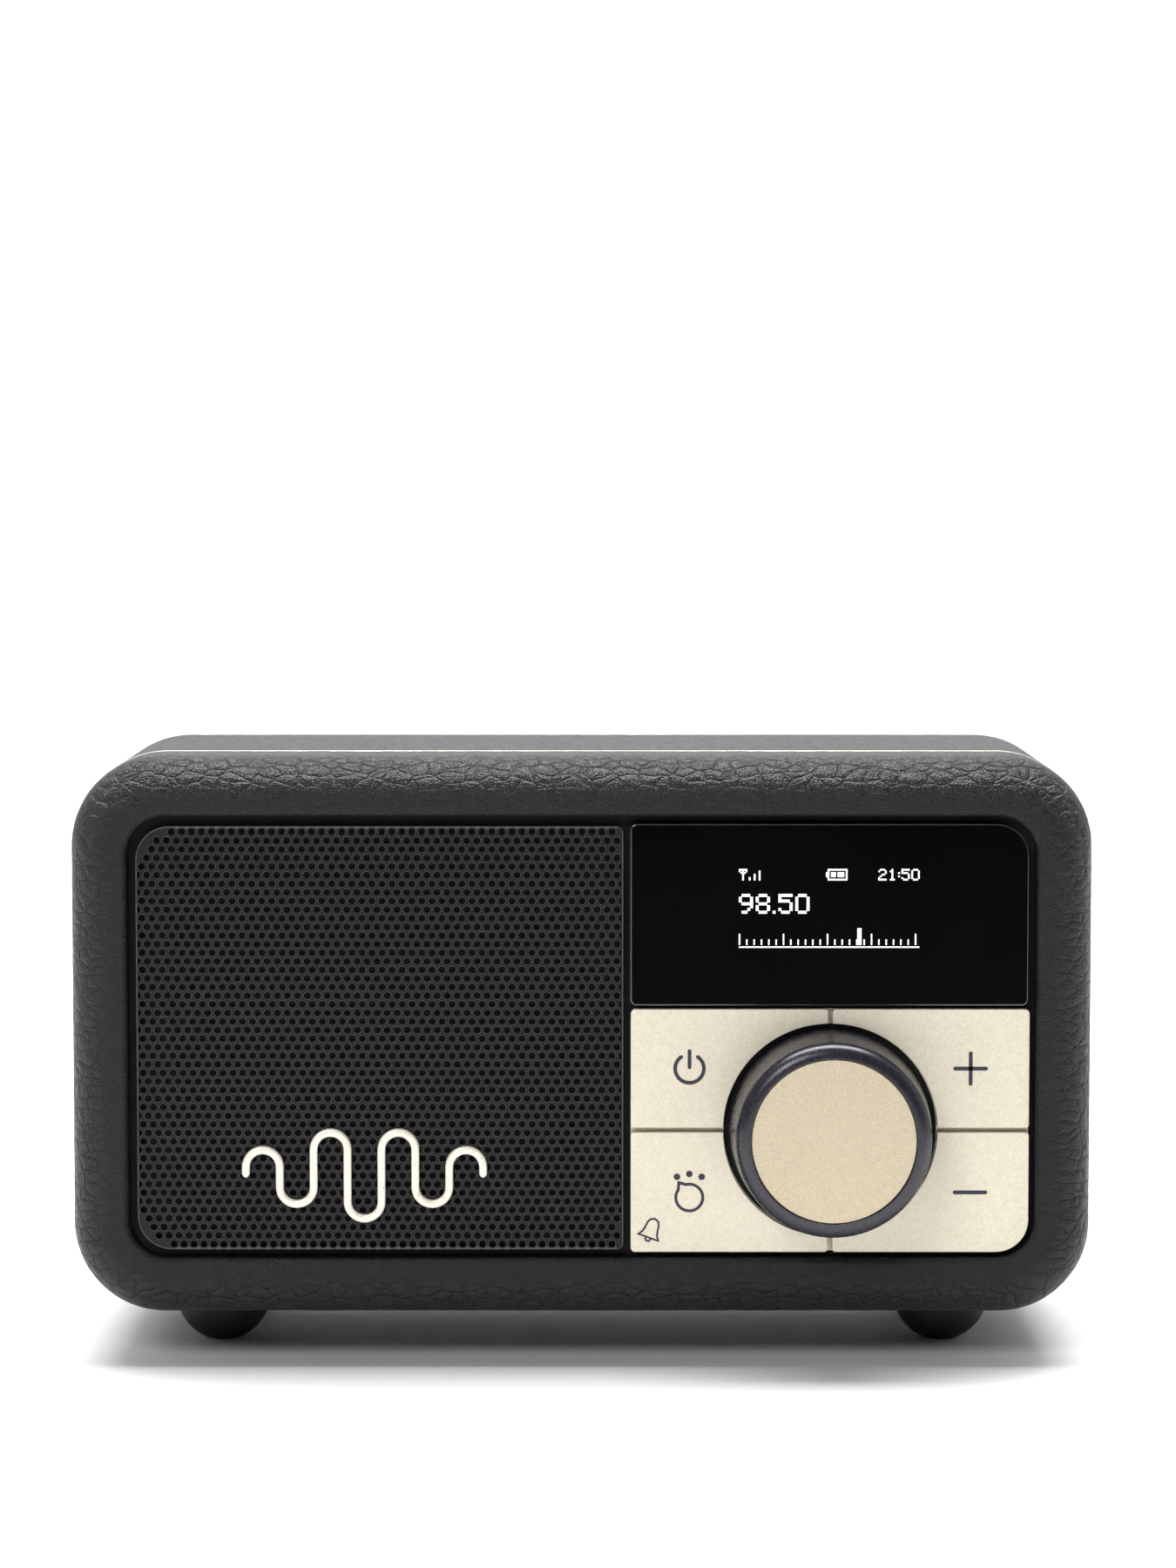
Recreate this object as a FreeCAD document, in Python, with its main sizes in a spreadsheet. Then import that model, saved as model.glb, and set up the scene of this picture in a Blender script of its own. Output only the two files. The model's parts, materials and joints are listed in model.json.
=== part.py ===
"""A small portable radio: a leather-covered case with a perforated speaker front, a display,
four button tiles round a rotary knob, and a telescopic aerial stowed behind the rear plate.

Millimetres. +Z is up, the front faces -Y, and the origin is under the middle of the radio.
A "depth" is a distance behind the front plane of the leather, so y = front_y + depth.
"""
import FreeCAD, Part

import math
import os
import re

import Sketcher

Vector = FreeCAD.Vector
FULL_TURN = 360.0
ALL_CORNERS = ("low_right", "high_right", "high_left", "low_left")

# name, value, meaning
SIZES = [
    ("front_y", -28.15, "y of the front plane of the leather"),
    ("case_width", 157, "width over the leather"),
    ("case_low", 7.7, "underside of the case above the floor"),
    ("case_high", 94, "top of the case"),
    ("case_depth", 61, "front plane to rear plane of the leather"),
    ("corner_radius", 14, "corners of the case seen from the front"),
    ("front_round", 6.5, "rounding of the front edge"),
    ("rear_round", 5, "rounding of the rear edge"),
    ("leather", 1, "thickness of the leather"),
    ("wall", 2.2, "thickness of the shells"),
    ("seam_depth", 15.8, "rear edge of the front leather"),
    ("piping_width", 1, "width of the piping"),
    ("seam_groove", 0.4, "dark groove behind the piping"),
    ("shell_joint", 16.3, "where the two shells meet"),
    ("opening_side", 69.5, "half width of the front and rear openings"),
    ("opening_low", 16.9, "lower edge of the openings"),
    ("opening_high", 85, "upper edge of the openings"),
    ("opening_radius", 6, "corners of the openings"),
    ("baffle_front", 3.2, "front face of the baffle"),
    ("baffle_thick", 2, "thickness of the baffle"),
    ("ledge_front", 54.5, "front face of the rear shell's ledge"),
    ("plate_front", 56.5, "front face of the rear plate"),
    ("plate_back", 58.5, "rear face of the rear plate"),
    ("ledge_side", 64, "half width of the ledge's opening"),
    ("ledge_inset", 5.5, "ledge height inside the opening"),
    ("case_screw_side", 65.6, "case screws left and right of the middle"),
    ("case_screw_low", 20.8, "height of the lower case screws"),
    ("case_screw_high", 81.1, "height of the upper case screws"),
    ("case_screw_radius", 1.5, "shank of the case screws"),
    ("grille_left", -68.2, "left edge of the grille"),
    ("grille_right", 6.4, "right edge of the grille"),
    ("grille_low", 18.1, "lower edge of the grille"),
    ("grille_high", 83.4, "upper edge of the grille"),
    ("grille_front", 1.2, "depth of the grille's face"),
    ("grille_sheet", 0.6, "thickness of the grille's sheet"),
    ("grille_radius", 5.2, "outer corners of the grille"),
    ("small_radius", 1, "inner corners of grille, lens and tiles"),
    ("hole_radius", 0.5, "radius of a grille hole"),
    ("hole_pitch", 3.06, "spacing of the grille holes along a row"),
    ("hole_margin", 1.6, "solid border of the grille"),
    ("emblem_x", -30.7, "middle of the emblem"),
    ("emblem_z", 30.6, "middle of the emblem"),
    ("emblem_pitch", 5.2, "distance between the strokes of the emblem"),
    ("emblem_stroke", 1.2, "width of the emblem's ribbon"),
    ("emblem_tall", 10, "height of the emblem's tallest stroke"),
    ("emblem_front", 0.2, "depth of the emblem's face"),
    ("lens_left", 7.45, "left edge of the display lens"),
    ("lens_right", 68.4, "right edge of the display lens"),
    ("lens_low", 55.85, "lower edge of the display lens"),
    ("lens_high", 83.8, "upper edge of the display lens"),
    ("lens_front", 0.9, "depth of the lens's face"),
    ("tiles_left", 7.55, "left edge of the block of tiles"),
    ("tiles_right", 68.64, "right edge of the block of tiles"),
    ("tiles_low", 17.75, "lower edge of the block of tiles"),
    ("tiles_high", 55.3, "upper edge of the block of tiles"),
    ("tile_radius", 5, "outer corner of tiles and lens"),
    ("tile_gap", 0.74, "gap between the tiles"),
    ("tile_front", 1, "depth of the tiles' faces"),
    ("tile_thick", 1, "thickness of a tile"),
    ("tile_hole", 16.42, "radius of the round opening for the knob"),
    ("control_plate_front", 2.6, "front face of the control plate"),
    ("stem_radius", 1.5, "stem behind a tile"),
    ("stem_end", 8.2, "depth of the stem's end"),
    ("stem_across", 20, "stems left and right of the knob axis"),
    ("stem_up", 11.5, "stems above and below the knob axis"),
    ("switch_side", 3, "half width of a switch"),
    ("switch_front", 7.5, "front of a switch"),
    ("board_front", 11, "front face of the front board"),
    ("board_thick", 1.6, "thickness of the boards"),
    ("knob_x", 38.15, "knob axis"),
    ("knob_z", 36.65, "knob axis"),
    ("knob_front", -11.2, "depth of the knob's front"),
    ("knob_length", 13.1, "length of the knob"),
    ("knob_base", 15.6, "radius of the knob at its base"),
    ("knob_nose", 14.8, "radius of the knob at its front"),
    ("knob_cap_radius", 12.5, "radius of the knob's disc"),
    ("knob_hollow", 11.5, "radius of the hollow in the knob"),
    ("shaft_radius", 3, "control shaft"),
    ("running_gap", 0.05, "radial clearance of shafts and tubes"),
    ("speaker_x", -31, "loudspeaker axis"),
    ("speaker_z", 50.7, "loudspeaker axis"),
    ("speaker_opening", 27, "radius of the opening in the baffle"),
    ("speaker_flange", 32, "radius of the loudspeaker's flange"),
    ("speaker_screw", 21.2, "loudspeaker screws left, right, above and below its axis"),
    ("cell_radius", 9.2, "radius of a battery cell"),
    ("cell_length", 65, "length of a battery cell"),
    ("cell_left", -4.8, "left end of the cells"),
    ("cell_z", 72, "height of the cells"),
    ("cell_depth", 25, "depth of the front cell"),
    ("cell_spacing", 19.2, "distance between the cells"),
    ("main_board_z", 22.4, "underside of the main board"),
    ("post_left", -48, "main board posts"),
    ("post_right", 24, "main board posts"),
    ("post_near", 26, "depth of the nearer posts"),
    ("post_far", 46, "depth of the farther posts"),
    ("jack_x", -38, "headphone socket"),
    ("jack_z", 27, "headphone socket"),
    ("jack_bore", 1.8, "radius of the headphone bore"),
    ("jack_mouth", 59.3, "depth of the headphone socket's mouth"),
    ("jack_length", 14, "length of the headphone bore"),
    ("usb_x", -52, "charging socket"),
    ("usb_z", 25.65, "charging socket"),
    ("aerial_x", 58, "aerial pivot"),
    ("aerial_z", 74, "aerial pivot"),
    ("aerial_depth", 64.5, "depth of the stowed aerial's axis"),
    ("aerial_rear", 67.5, "rear end of the aerial's fork"),
    ("mast_radius", 2.5, "outermost tube of the aerial"),
    ("mast_end", -50, "free end of the outermost tube"),
    ("tube_step", 0.5, "difference in radius from tube to tube"),
    ("tube_stagger", 1.5, "how far each tube stands out of the one around it"),
    ("foot_x", 57, "feet left and right of the middle"),
    ("foot_near", 25, "depth of the front feet"),
    ("foot_far", 48, "depth of the rear feet"),
    ("foot_ball", 7.5, "radius of a foot's ball"),
    ("foot_flat", 2.6, "radius of a foot's flat"),
]

document = FreeCAD.newDocument("radio")
sheet = document.addObject("Spreadsheet::Sheet", "Sizes")
for row, (alias, value, meaning) in enumerate(SIZES, start=1):
    sheet.set(f"A{row}", meaning)
    sheet.set(f"B{row}", str(value))
    sheet.setAlias(f"B{row}", alias)
document.recompute()
nodes = []


# ---------------------------------------------------------------- sizes and placing

def formula(text):
    """A sheet expression from a formula written with the plain names of the sizes."""
    return re.sub(r"(?!sqrt)\b[a-z][a-z_]*", lambda name: "Sizes." + name.group(), str(text))


def size(text):
    """The present value of such a formula."""
    return float(sheet.evalExpression(formula(text)))


def bind(item, target, text):
    item.setExpression(target, formula(text))


def place(item, x, depth, z):
    bind(item, "Placement.Base.x", x)
    bind(item, "Placement.Base.y", f"front_y + ({depth})")
    bind(item, "Placement.Base.z", z)
    return item


def publish(item, label):
    """Names a finished sub-part, which is written to a file of that name."""
    item.Label = label
    nodes.append(item)
    return item


# ---------------------------------------------------------------- primitives and booleans

TURNS = {
    "+X": FreeCAD.Rotation(Vector(0, 1, 0), 90),
    "-X": FreeCAD.Rotation(Vector(0, 1, 0), -90),
    "+Y": FreeCAD.Rotation(Vector(1, 0, 0), -90),
    "-Y": FreeCAD.Rotation(Vector(1, 0, 0), 90),
    "+Z": FreeCAD.Rotation(),
    "-Z": FreeCAD.Rotation(Vector(1, 0, 0), 180),
}


def rod(name, along, radius, length, x, depth, z):
    """A cylinder that starts at a point and runs along a row axis."""
    item = document.addObject("Part::Cylinder", name)
    item.Placement = FreeCAD.Placement(Vector(), TURNS[along])
    bind(item, "Radius", radius)
    bind(item, "Height", length)
    return place(item, x, depth, z)


def box(name, x_range, depth_range, z_range):
    item = document.addObject("Part::Box", name)
    for side, (low, high) in zip(("Length", "Width", "Height"), (x_range, depth_range, z_range)):
        bind(item, side, f"({high}) - ({low})")
    return place(item, x_range[0], depth_range[0], z_range[0])


def fuse(name, *items):
    joined = document.addObject("Part::MultiFuse", name)
    joined.Shapes = list(items)
    joined.Refine = True
    return joined


def cut(name, base, *tools):
    piece = document.addObject("Part::Cut", name)
    piece.Base = base
    piece.Tool = tools[0] if len(tools) == 1 else fuse(name + "_tools", *tools)
    piece.Refine = True
    return piece


def group(name, items):
    """Separate solids that share one file."""
    together = document.addObject("Part::Compound", name)
    together.Links = list(items)
    return together


def tube(name, along, outer, inner, length, x, depth, z):
    wall = rod(name + "_outside", along, outer, length, x, depth, z)
    bore = rod(name + "_bore", along, inner, length, x, depth, z)
    return cut(name, wall, bore)


# ---------------------------------------------------------------- sketched bodies

def origin_plane(body, role):
    return next(item for item in body.Origin.OriginFeatures if item.Role == role)


def sketch_on(body, name, role):
    sketch = body.newObject("Sketcher::SketchObject", name)
    sketch.AttachmentSupport = [(origin_plane(body, role), "")]
    sketch.MapMode = "FlatFace"
    return sketch


def front_sketch(body, name, depth):
    """A sketch seen from the front, at a depth behind the front plane."""
    sketch = sketch_on(body, name, "XZ_Plane")
    bind(sketch, "AttachmentOffset.Base.z", f"-(front_y + ({depth}))")
    return sketch


def hold(sketch, name, constraint, text):
    """Adds a driving dimension and ties it to the sheet."""
    index = sketch.addConstraint(constraint)
    sketch.renameConstraint(index, name)
    bind(sketch, "Constraints." + name, text)


def draw_rounded_rectangle(sketch, x_range, z_range, radii):
    """Four sides and four corner arcs, counter-clockwise from the lower side."""
    left, right = (size(text) for text in x_range)
    low, high = (size(text) for text in z_range)
    corner = [size(radii[name]) for name in ALL_CORNERS]
    sides = [
        (Vector(left + corner[3], low), Vector(right - corner[0], low)),
        (Vector(right, low + corner[0]), Vector(right, high - corner[1])),
        (Vector(right - corner[1], high), Vector(left + corner[2], high)),
        (Vector(left, high - corner[2]), Vector(left, low + corner[3])),
    ]
    centres = [
        Vector(right - corner[0], low + corner[0]),
        Vector(right - corner[1], high - corner[1]),
        Vector(left + corner[2], high - corner[2]),
        Vector(left + corner[3], low + corner[3]),
    ]
    for start, end in sides:
        sketch.addGeometry(Part.LineSegment(start, end))
    for index, centre in enumerate(centres):
        circle = Part.Circle(centre, Vector(0, 0, 1), corner[index])
        begin = (index - 1) * math.pi / 2
        sketch.addGeometry(Part.ArcOfCircle(circle, begin, begin + math.pi / 2))
    for index in range(4):
        sketch.addConstraint(Sketcher.Constraint("Tangent", index, 2, 4 + index, 1))
        sketch.addConstraint(Sketcher.Constraint("Tangent", 4 + index, 2, (index + 1) % 4, 1))
        direction = "Horizontal" if index % 2 == 0 else "Vertical"
        sketch.addConstraint(Sketcher.Constraint(direction, index))
    hold(sketch, "left", Sketcher.Constraint("DistanceX", -1, 1, 3, 1, left), x_range[0])
    hold(sketch, "right", Sketcher.Constraint("DistanceX", -1, 1, 1, 1, right), x_range[1])
    hold(sketch, "low", Sketcher.Constraint("DistanceY", -1, 1, 0, 1, low), z_range[0])
    hold(sketch, "high", Sketcher.Constraint("DistanceY", -1, 1, 2, 1, high), z_range[1])
    for index, name in enumerate(ALL_CORNERS):
        limit = Sketcher.Constraint("Radius", 4 + index, corner[index])
        hold(sketch, name, limit, radii[name])


def draw_circle(sketch, x, z, radius):
    centre = Vector(size(x), size(z))
    index = sketch.addGeometry(Part.Circle(centre, Vector(0, 0, 1), size(radius)))
    hold(sketch, "across", Sketcher.Constraint("DistanceX", -1, 1, index, 3, centre.x), x)
    hold(sketch, "up", Sketcher.Constraint("DistanceY", -1, 1, index, 3, centre.y), z)
    hold(sketch, "round", Sketcher.Constraint("Radius", index, size(radius)), radius)


def draw_polygon(sketch, points):
    """A closed outline with both coordinates of each corner tied to the sheet."""
    corners = [Vector(size(x), size(y)) for x, y in points]
    for start, end in zip(corners, corners[1:] + corners[:1]):
        sketch.addGeometry(Part.LineSegment(start, end))
    for index, (x, y) in enumerate(points):
        following = (index + 1) % len(points)
        sketch.addConstraint(Sketcher.Constraint("Coincident", index, 2, following, 1))
        if corners[index].x == 0:
            sketch.addConstraint(Sketcher.Constraint("PointOnObject", index, 1, -2))
        else:
            limit = Sketcher.Constraint("DistanceX", -1, 1, index, 1, corners[index].x)
            hold(sketch, "across_" + "abcdefghijklmnop"[index], limit, x)
        if corners[index].y == 0:
            sketch.addConstraint(Sketcher.Constraint("PointOnObject", index, 1, -1))
        else:
            limit = Sketcher.Constraint("DistanceY", -1, 1, index, 1, corners[index].y)
            hold(sketch, "up_" + "abcdefghijklmnop"[index], limit, y)


def pad(body, sketch, length):
    """Thickens a front sketch towards the rear."""
    feature = body.newObject("PartDesign::Pad", sketch.Name + "_pad")
    feature.Profile = sketch
    feature.Reversed = True
    bind(feature, "Length", length)
    return feature


def pocket(body, sketch, length):
    """Cuts from a front sketch towards the rear."""
    feature = body.newObject("PartDesign::Pocket", sketch.Name + "_pocket")
    feature.Profile = sketch
    bind(feature, "Length", length)
    return feature


def slab(name, x_range, z_range, depth_range, radius, **corners):
    """A plate parallel to the front with round corners, each of its own radius if named."""
    body = document.addObject("PartDesign::Body", name)
    sketch = front_sketch(body, name + "_outline", depth_range[0])
    radii = {corner: corners.get(corner, radius) for corner in ALL_CORNERS}
    draw_rounded_rectangle(sketch, x_range, z_range, radii)
    pad(body, sketch, f"({depth_range[1]}) - ({depth_range[0]})")
    return body


def round_edges(body, feature, depth, radius):
    """Rounds every edge of a feature that lies at one depth."""
    document.recompute()
    level = size(f"front_y + ({depth})")
    names = []
    for index, edge in enumerate(feature.Shape.Edges, start=1):
        reach = edge.BoundBox
        if max(abs(reach.YMin - level), abs(reach.YMax - level)) < 0.001:
            names.append(f"Edge{index}")
    rounding = body.newObject("PartDesign::Fillet", body.Name + "_rounding")
    rounding.Base = (feature, names)
    bind(rounding, "Radius", radius)
    return rounding


def turned(name, x, z, points):
    """A piece turned about a line parallel to Y, from corners given as (radius, depth)."""
    body = document.addObject("PartDesign::Body", name)
    bind(body, "Placement.Base.x", x)
    bind(body, "Placement.Base.z", z)
    sketch = sketch_on(body, name + "_profile", "XY_Plane")
    draw_polygon(sketch, [(radius, f"front_y + ({depth})") for radius, depth in points])
    feature = body.newObject("PartDesign::Revolution", name + "_turn")
    feature.Profile = sketch
    feature.ReferenceAxis = (sketch, ["V_Axis"])
    feature.Angle = FULL_TURN
    return body


# ---------------------------------------------------------------- fasteners and leads

def screw(name, along, head_radius, head_height, shank_radius, length, x, depth, z):
    """A screw with a hexagon recess; its head's face is at the point, its shank runs along."""
    head = rod(name + "_head", "+Z", head_radius, head_height, "0", "-front_y", "0")
    shank = rod(name + "_shank", "+Z", shank_radius, f"{head_height} + {length}", "0", "-front_y", "0")
    recess = document.addObject("Part::Prism", name + "_recess")
    recess.Polygon = 6
    bind(recess, "Circumradius", f"{shank_radius} * 0.8")
    bind(recess, "Height", f"{head_height} * 0.7")
    piece = cut(name, fuse(name + "_blank", head, shank), recess)
    piece.Placement = FreeCAD.Placement(Vector(), TURNS[along])
    return place(piece, x, depth, z)


def lead(label, route, radius):
    """A round lead along straight runs joined by tangent arcs."""
    points = [Vector(x, size("front_y") + depth, z) for x, depth, z in route]
    edges = []
    start = points[0]
    for before, corner, after in zip(points, points[1:], points[2:]):
        back = before - corner
        ahead = after - corner
        half_turn = (math.pi - back.getAngle(ahead)) / 2
        reach = 0.45 * min(back.Length, ahead.Length)
        bend = reach / math.tan(half_turn)
        print(f"{label}: bend radius {bend:.1f}")
        back.normalize()
        ahead.normalize()
        middle = back + ahead
        middle.normalize()
        centre = corner + middle * (bend / math.cos(half_turn))
        enter = corner + back * reach
        leave = corner + ahead * reach
        edges.append(Part.LineSegment(start, enter).toShape())
        edges.append(Part.Arc(enter, centre - middle * bend, leave).toShape())
        start = leave
    edges.append(Part.LineSegment(start, points[-1]).toShape())
    path = Part.Wire(edges)
    circle = Part.Circle(points[0], points[1] - points[0], radius)
    section = Part.Wire(circle.toShape())
    solid = path.makePipeShell([section], True, True)
    expected = math.pi * radius ** 2 * path.Length
    if abs(solid.Volume / expected - 1) > 0.01:
        raise ValueError(f"{label}: volume {solid.Volume:.1f}, expected {expected:.1f}")
    item = document.addObject("Part::Feature", label)
    item.Shape = solid
    publish(item, label)


# ---------------------------------------------------------------- case

def case_block(name, inset, depth_range, rounded=None):
    """The case's outline drawn in by an inset; rounded is (depth of the edge, radius)."""
    side = f"case_width / 2 - ({inset})"
    body = slab(name, (f"-({side})", side), (f"case_low + {inset}", f"case_high - ({inset})"),
                depth_range, f"corner_radius - ({inset})")
    if rounded:
        round_edges(body, body.Tip, *rounded)
    return body


def opening_block(name, depth_range, inset="0"):
    side = f"opening_side - {inset}"
    return slab(name, (f"-({side})", side), (f"opening_low + {inset}", f"opening_high - {inset}"),
                depth_range, f"opening_radius - {inset}")


def case_screw_places():
    for side in ("-case_screw_side", "case_screw_side"):
        for height in ("case_screw_low", "case_screw_high"):
            yield side, height


def foot_places():
    for side in ("-foot_x", "foot_x"):
        for depth in ("foot_near", "foot_far"):
            yield side, depth


def post_places():
    for side in ("post_left", "post_right"):
        for depth in ("post_near", "post_far"):
            yield side, depth


def make_front_case():
    cover = case_block("front_cover", "0", ("0", "seam_depth"), ("0", "front_round"))
    core = case_block("front_core", "leather", ("leather", "seam_depth + 2"),
                      ("leather", "front_round - leather"))
    window = opening_block("front_window", ("-1", "baffle_front + 1"))
    publish(cut("front_leather_cut", cover, core, window), "front_leather")

    shell = case_block("front_shell_block", "leather", ("leather", "shell_joint"),
                       ("leather", "front_round - leather"))
    hollow = case_block("front_hollow", "leather + wall", ("baffle_front", "shell_joint + 1"))
    opening = opening_block("front_opening", ("-1", "baffle_front + 1"))
    publish(cut("front_shell_cut", shell, hollow, opening), "front_shell")


def make_piping():
    ring = case_block("piping_block", "0", ("seam_depth", "seam_depth + piping_width"))
    core = case_block("piping_core", "leather", ("seam_depth - 1", "seam_depth + piping_width + 1"))
    publish(cut("piping_cut", ring, core), "piping")


def make_rear_case():
    """The rear cover and shell; the shell has a ledge for the plate and posts for the board."""
    seam = "seam_depth + piping_width + seam_groove"
    foot_holes = [rod(f"foot_hole_{index}", "+Z", "1.5", "6", x, depth, "case_low - 1")
                  for index, (x, depth) in enumerate(foot_places())]

    cover = case_block("rear_cover", "0", (seam, "case_depth"), ("case_depth", "rear_round"))
    core = case_block("rear_core", "leather", ("shell_joint - 1", "case_depth - leather"),
                      ("case_depth - leather", "rear_round - leather"))
    window = opening_block("rear_window", ("case_depth - 3", "case_depth + 1"))
    publish(cut("rear_leather_cut", cover, core, window, *foot_holes), "rear_leather")

    shell = case_block("rear_shell_block", "leather", ("shell_joint", "case_depth - leather"),
                       ("case_depth - leather", "rear_round - leather"))
    hollow = case_block("rear_hollow", "leather + wall", ("shell_joint - 1", "ledge_front"))
    ledge = slab("ledge_opening", ("-ledge_side", "ledge_side"),
                 ("opening_low + ledge_inset", "opening_high - ledge_inset"),
                 ("ledge_front - 1", "plate_front + 1"), "3")
    recess = opening_block("plate_recess", ("plate_front", "case_depth + 1"))
    screw_holes = [rod(f"ledge_hole_{index}", "+Y", "case_screw_radius + 0.1", "6",
                       x, "ledge_front - 1", z)
                   for index, (x, z) in enumerate(case_screw_places())]
    walls = cut("rear_walls", shell, hollow, ledge, recess, *screw_holes, *foot_holes)
    floor = "case_low + leather + wall"
    posts = [walls]
    bores = []
    for index, (x, depth) in enumerate(post_places()):
        posts.append(rod(f"board_post_{index}", "+Z", "3", f"main_board_z - ({floor})", x, depth, floor))
        bores.append(rod(f"board_bore_{index}", "+Z", "1.25", "9", x, depth, "main_board_z - 8"))
    publish(cut("rear_shell_cut", fuse("rear_shell_posts", *posts), *bores), "rear_shell")


def make_rear_plate():
    plate = opening_block("rear_plate_blank", ("plate_front", "plate_back"), "0.3")
    holes = [rod(f"plate_hole_{index}", "+Y", "case_screw_radius + 0.1", "4", x, "plate_front - 1", z)
             for index, (x, z) in enumerate(case_screw_places())]
    holes.append(rod("jack_hole", "+Y", "3.1", "4", "jack_x", "plate_front - 1", "jack_z"))
    holes.append(slab("usb_hole", ("usb_x - 4.7", "usb_x + 4.7"), ("usb_z - 1.9", "usb_z + 1.9"),
                      ("plate_front - 1", "plate_back + 1"), "1.8"))
    holes.append(rod("spindle_hole", "+Y", "shaft_radius + running_gap", "4",
                     "aerial_x", "plate_front - 1", "aerial_z"))
    publish(cut("rear_plate_cut", plate, *holes), "rear_plate")


def make_case_screws():
    screws = [screw(f"case_screw_{index}", "-Y", "2.5", "1.6", "case_screw_radius", "16",
                    x, "plate_back + 1.6", z)
              for index, (x, z) in enumerate(case_screw_places())]
    publish(group("case_screw_group", screws), "case_screws")


def make_feet():
    """Rubber balls cut flat below, where they stand, and above, where they meet the leather."""
    feet = []
    screws = []
    for index, (x, depth) in enumerate(foot_places()):
        ball = document.addObject("Part::Sphere", f"foot_ball_{index}")
        bind(ball, "Radius", "foot_ball")
        place(ball, x, depth, "sqrt(foot_ball ^ 2 - foot_flat ^ 2)")
        span = box(f"foot_span_{index}", (f"{x} - 10", f"{x} + 10"),
                   (f"{depth} - 10", f"{depth} + 10"), ("0", "case_low"))
        dome = document.addObject("Part::Common", f"foot_dome_{index}")
        dome.Base = ball
        dome.Tool = span
        bore = rod(f"foot_bore_{index}", "+Z", "1.25", "6", x, depth, "2.5")
        feet.append(cut(f"foot_{index}", dome, bore))
        screws.append(screw(f"foot_screw_{index}", "-Z", "2.6", "1.4", "1.25", "8",
                            x, depth, "case_low + leather + wall + 1.4"))
    publish(group("foot_group", feet), "feet")
    publish(group("foot_screw_group", screws), "foot_screws")


# ---------------------------------------------------------------- front plate and what it carries

def board_post_places():
    for x in ("tiles_left + 3.5", "knob_x + 13.9"):
        for z in ("tiles_low + 4.3", "tiles_high - 3.8"):
            yield x, z


def stem_places():
    """Lower left, upper left, lower right and upper right of the knob axis."""
    for x in ("knob_x - stem_across", "knob_x + stem_across"):
        for z in ("knob_z - stem_up", "knob_z + stem_up"):
            yield x, z


def speaker_screw_places():
    for x in ("speaker_x - speaker_screw", "speaker_x + speaker_screw"):
        for z in ("speaker_z - speaker_screw", "speaker_z + speaker_screw"):
            yield x, z


def make_baffle():
    back = "baffle_front + baffle_thick"
    side = "case_width / 2 - leather - wall - 0.3"
    plate = slab("baffle_plate", (f"-({side})", side),
                 ("case_low + leather + wall + 0.3", "case_high - leather - wall - 0.3"),
                 ("baffle_front", back), "corner_radius - leather - wall - 0.3")
    solids = [plate]
    holes = [
        rod("speaker_hole", "+Y", "speaker_opening", "5", "speaker_x", "baffle_front - 1", "speaker_z"),
        box("display_window", ("20", "56"), ("baffle_front - 1", "baffle_front + 4"), ("60", "80")),
        rod("bushing_hole", "+Y", "3.6", "5", "knob_x", "baffle_front - 1", "knob_z"),
    ]
    for index, (x, z) in enumerate(stem_places()):
        holes.append(rod(f"stem_hole_{index}", "+Y", "stem_radius + 0.5", "5", x, "baffle_front - 1", z))
    for index, (x, z) in enumerate(case_screw_places()):
        solids.append(rod(f"case_post_{index}", "+Y", "3.5", f"ledge_front - ({back})", x, back, z))
        holes.append(rod(f"case_bore_{index}", "+Y", "case_screw_radius", "16", x, "ledge_front - 15", z))
    for index, (x, z) in enumerate(board_post_places()):
        solids.append(rod(f"front_post_{index}", "+Y", "2.4", f"board_front - ({back})", x, back, z))
        holes.append(rod(f"front_bore_{index}", "+Y", "1", "6", x, "board_front - 5", z))
    for index, (x, z) in enumerate(speaker_screw_places()):
        holes.append(rod(f"speaker_bore_{index}", "+Y", "1", "5", x, "baffle_front + 0.4", z))
    publish(cut("baffle_cut", fuse("baffle_solids", *solids), *holes), "front_baffle")


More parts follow.
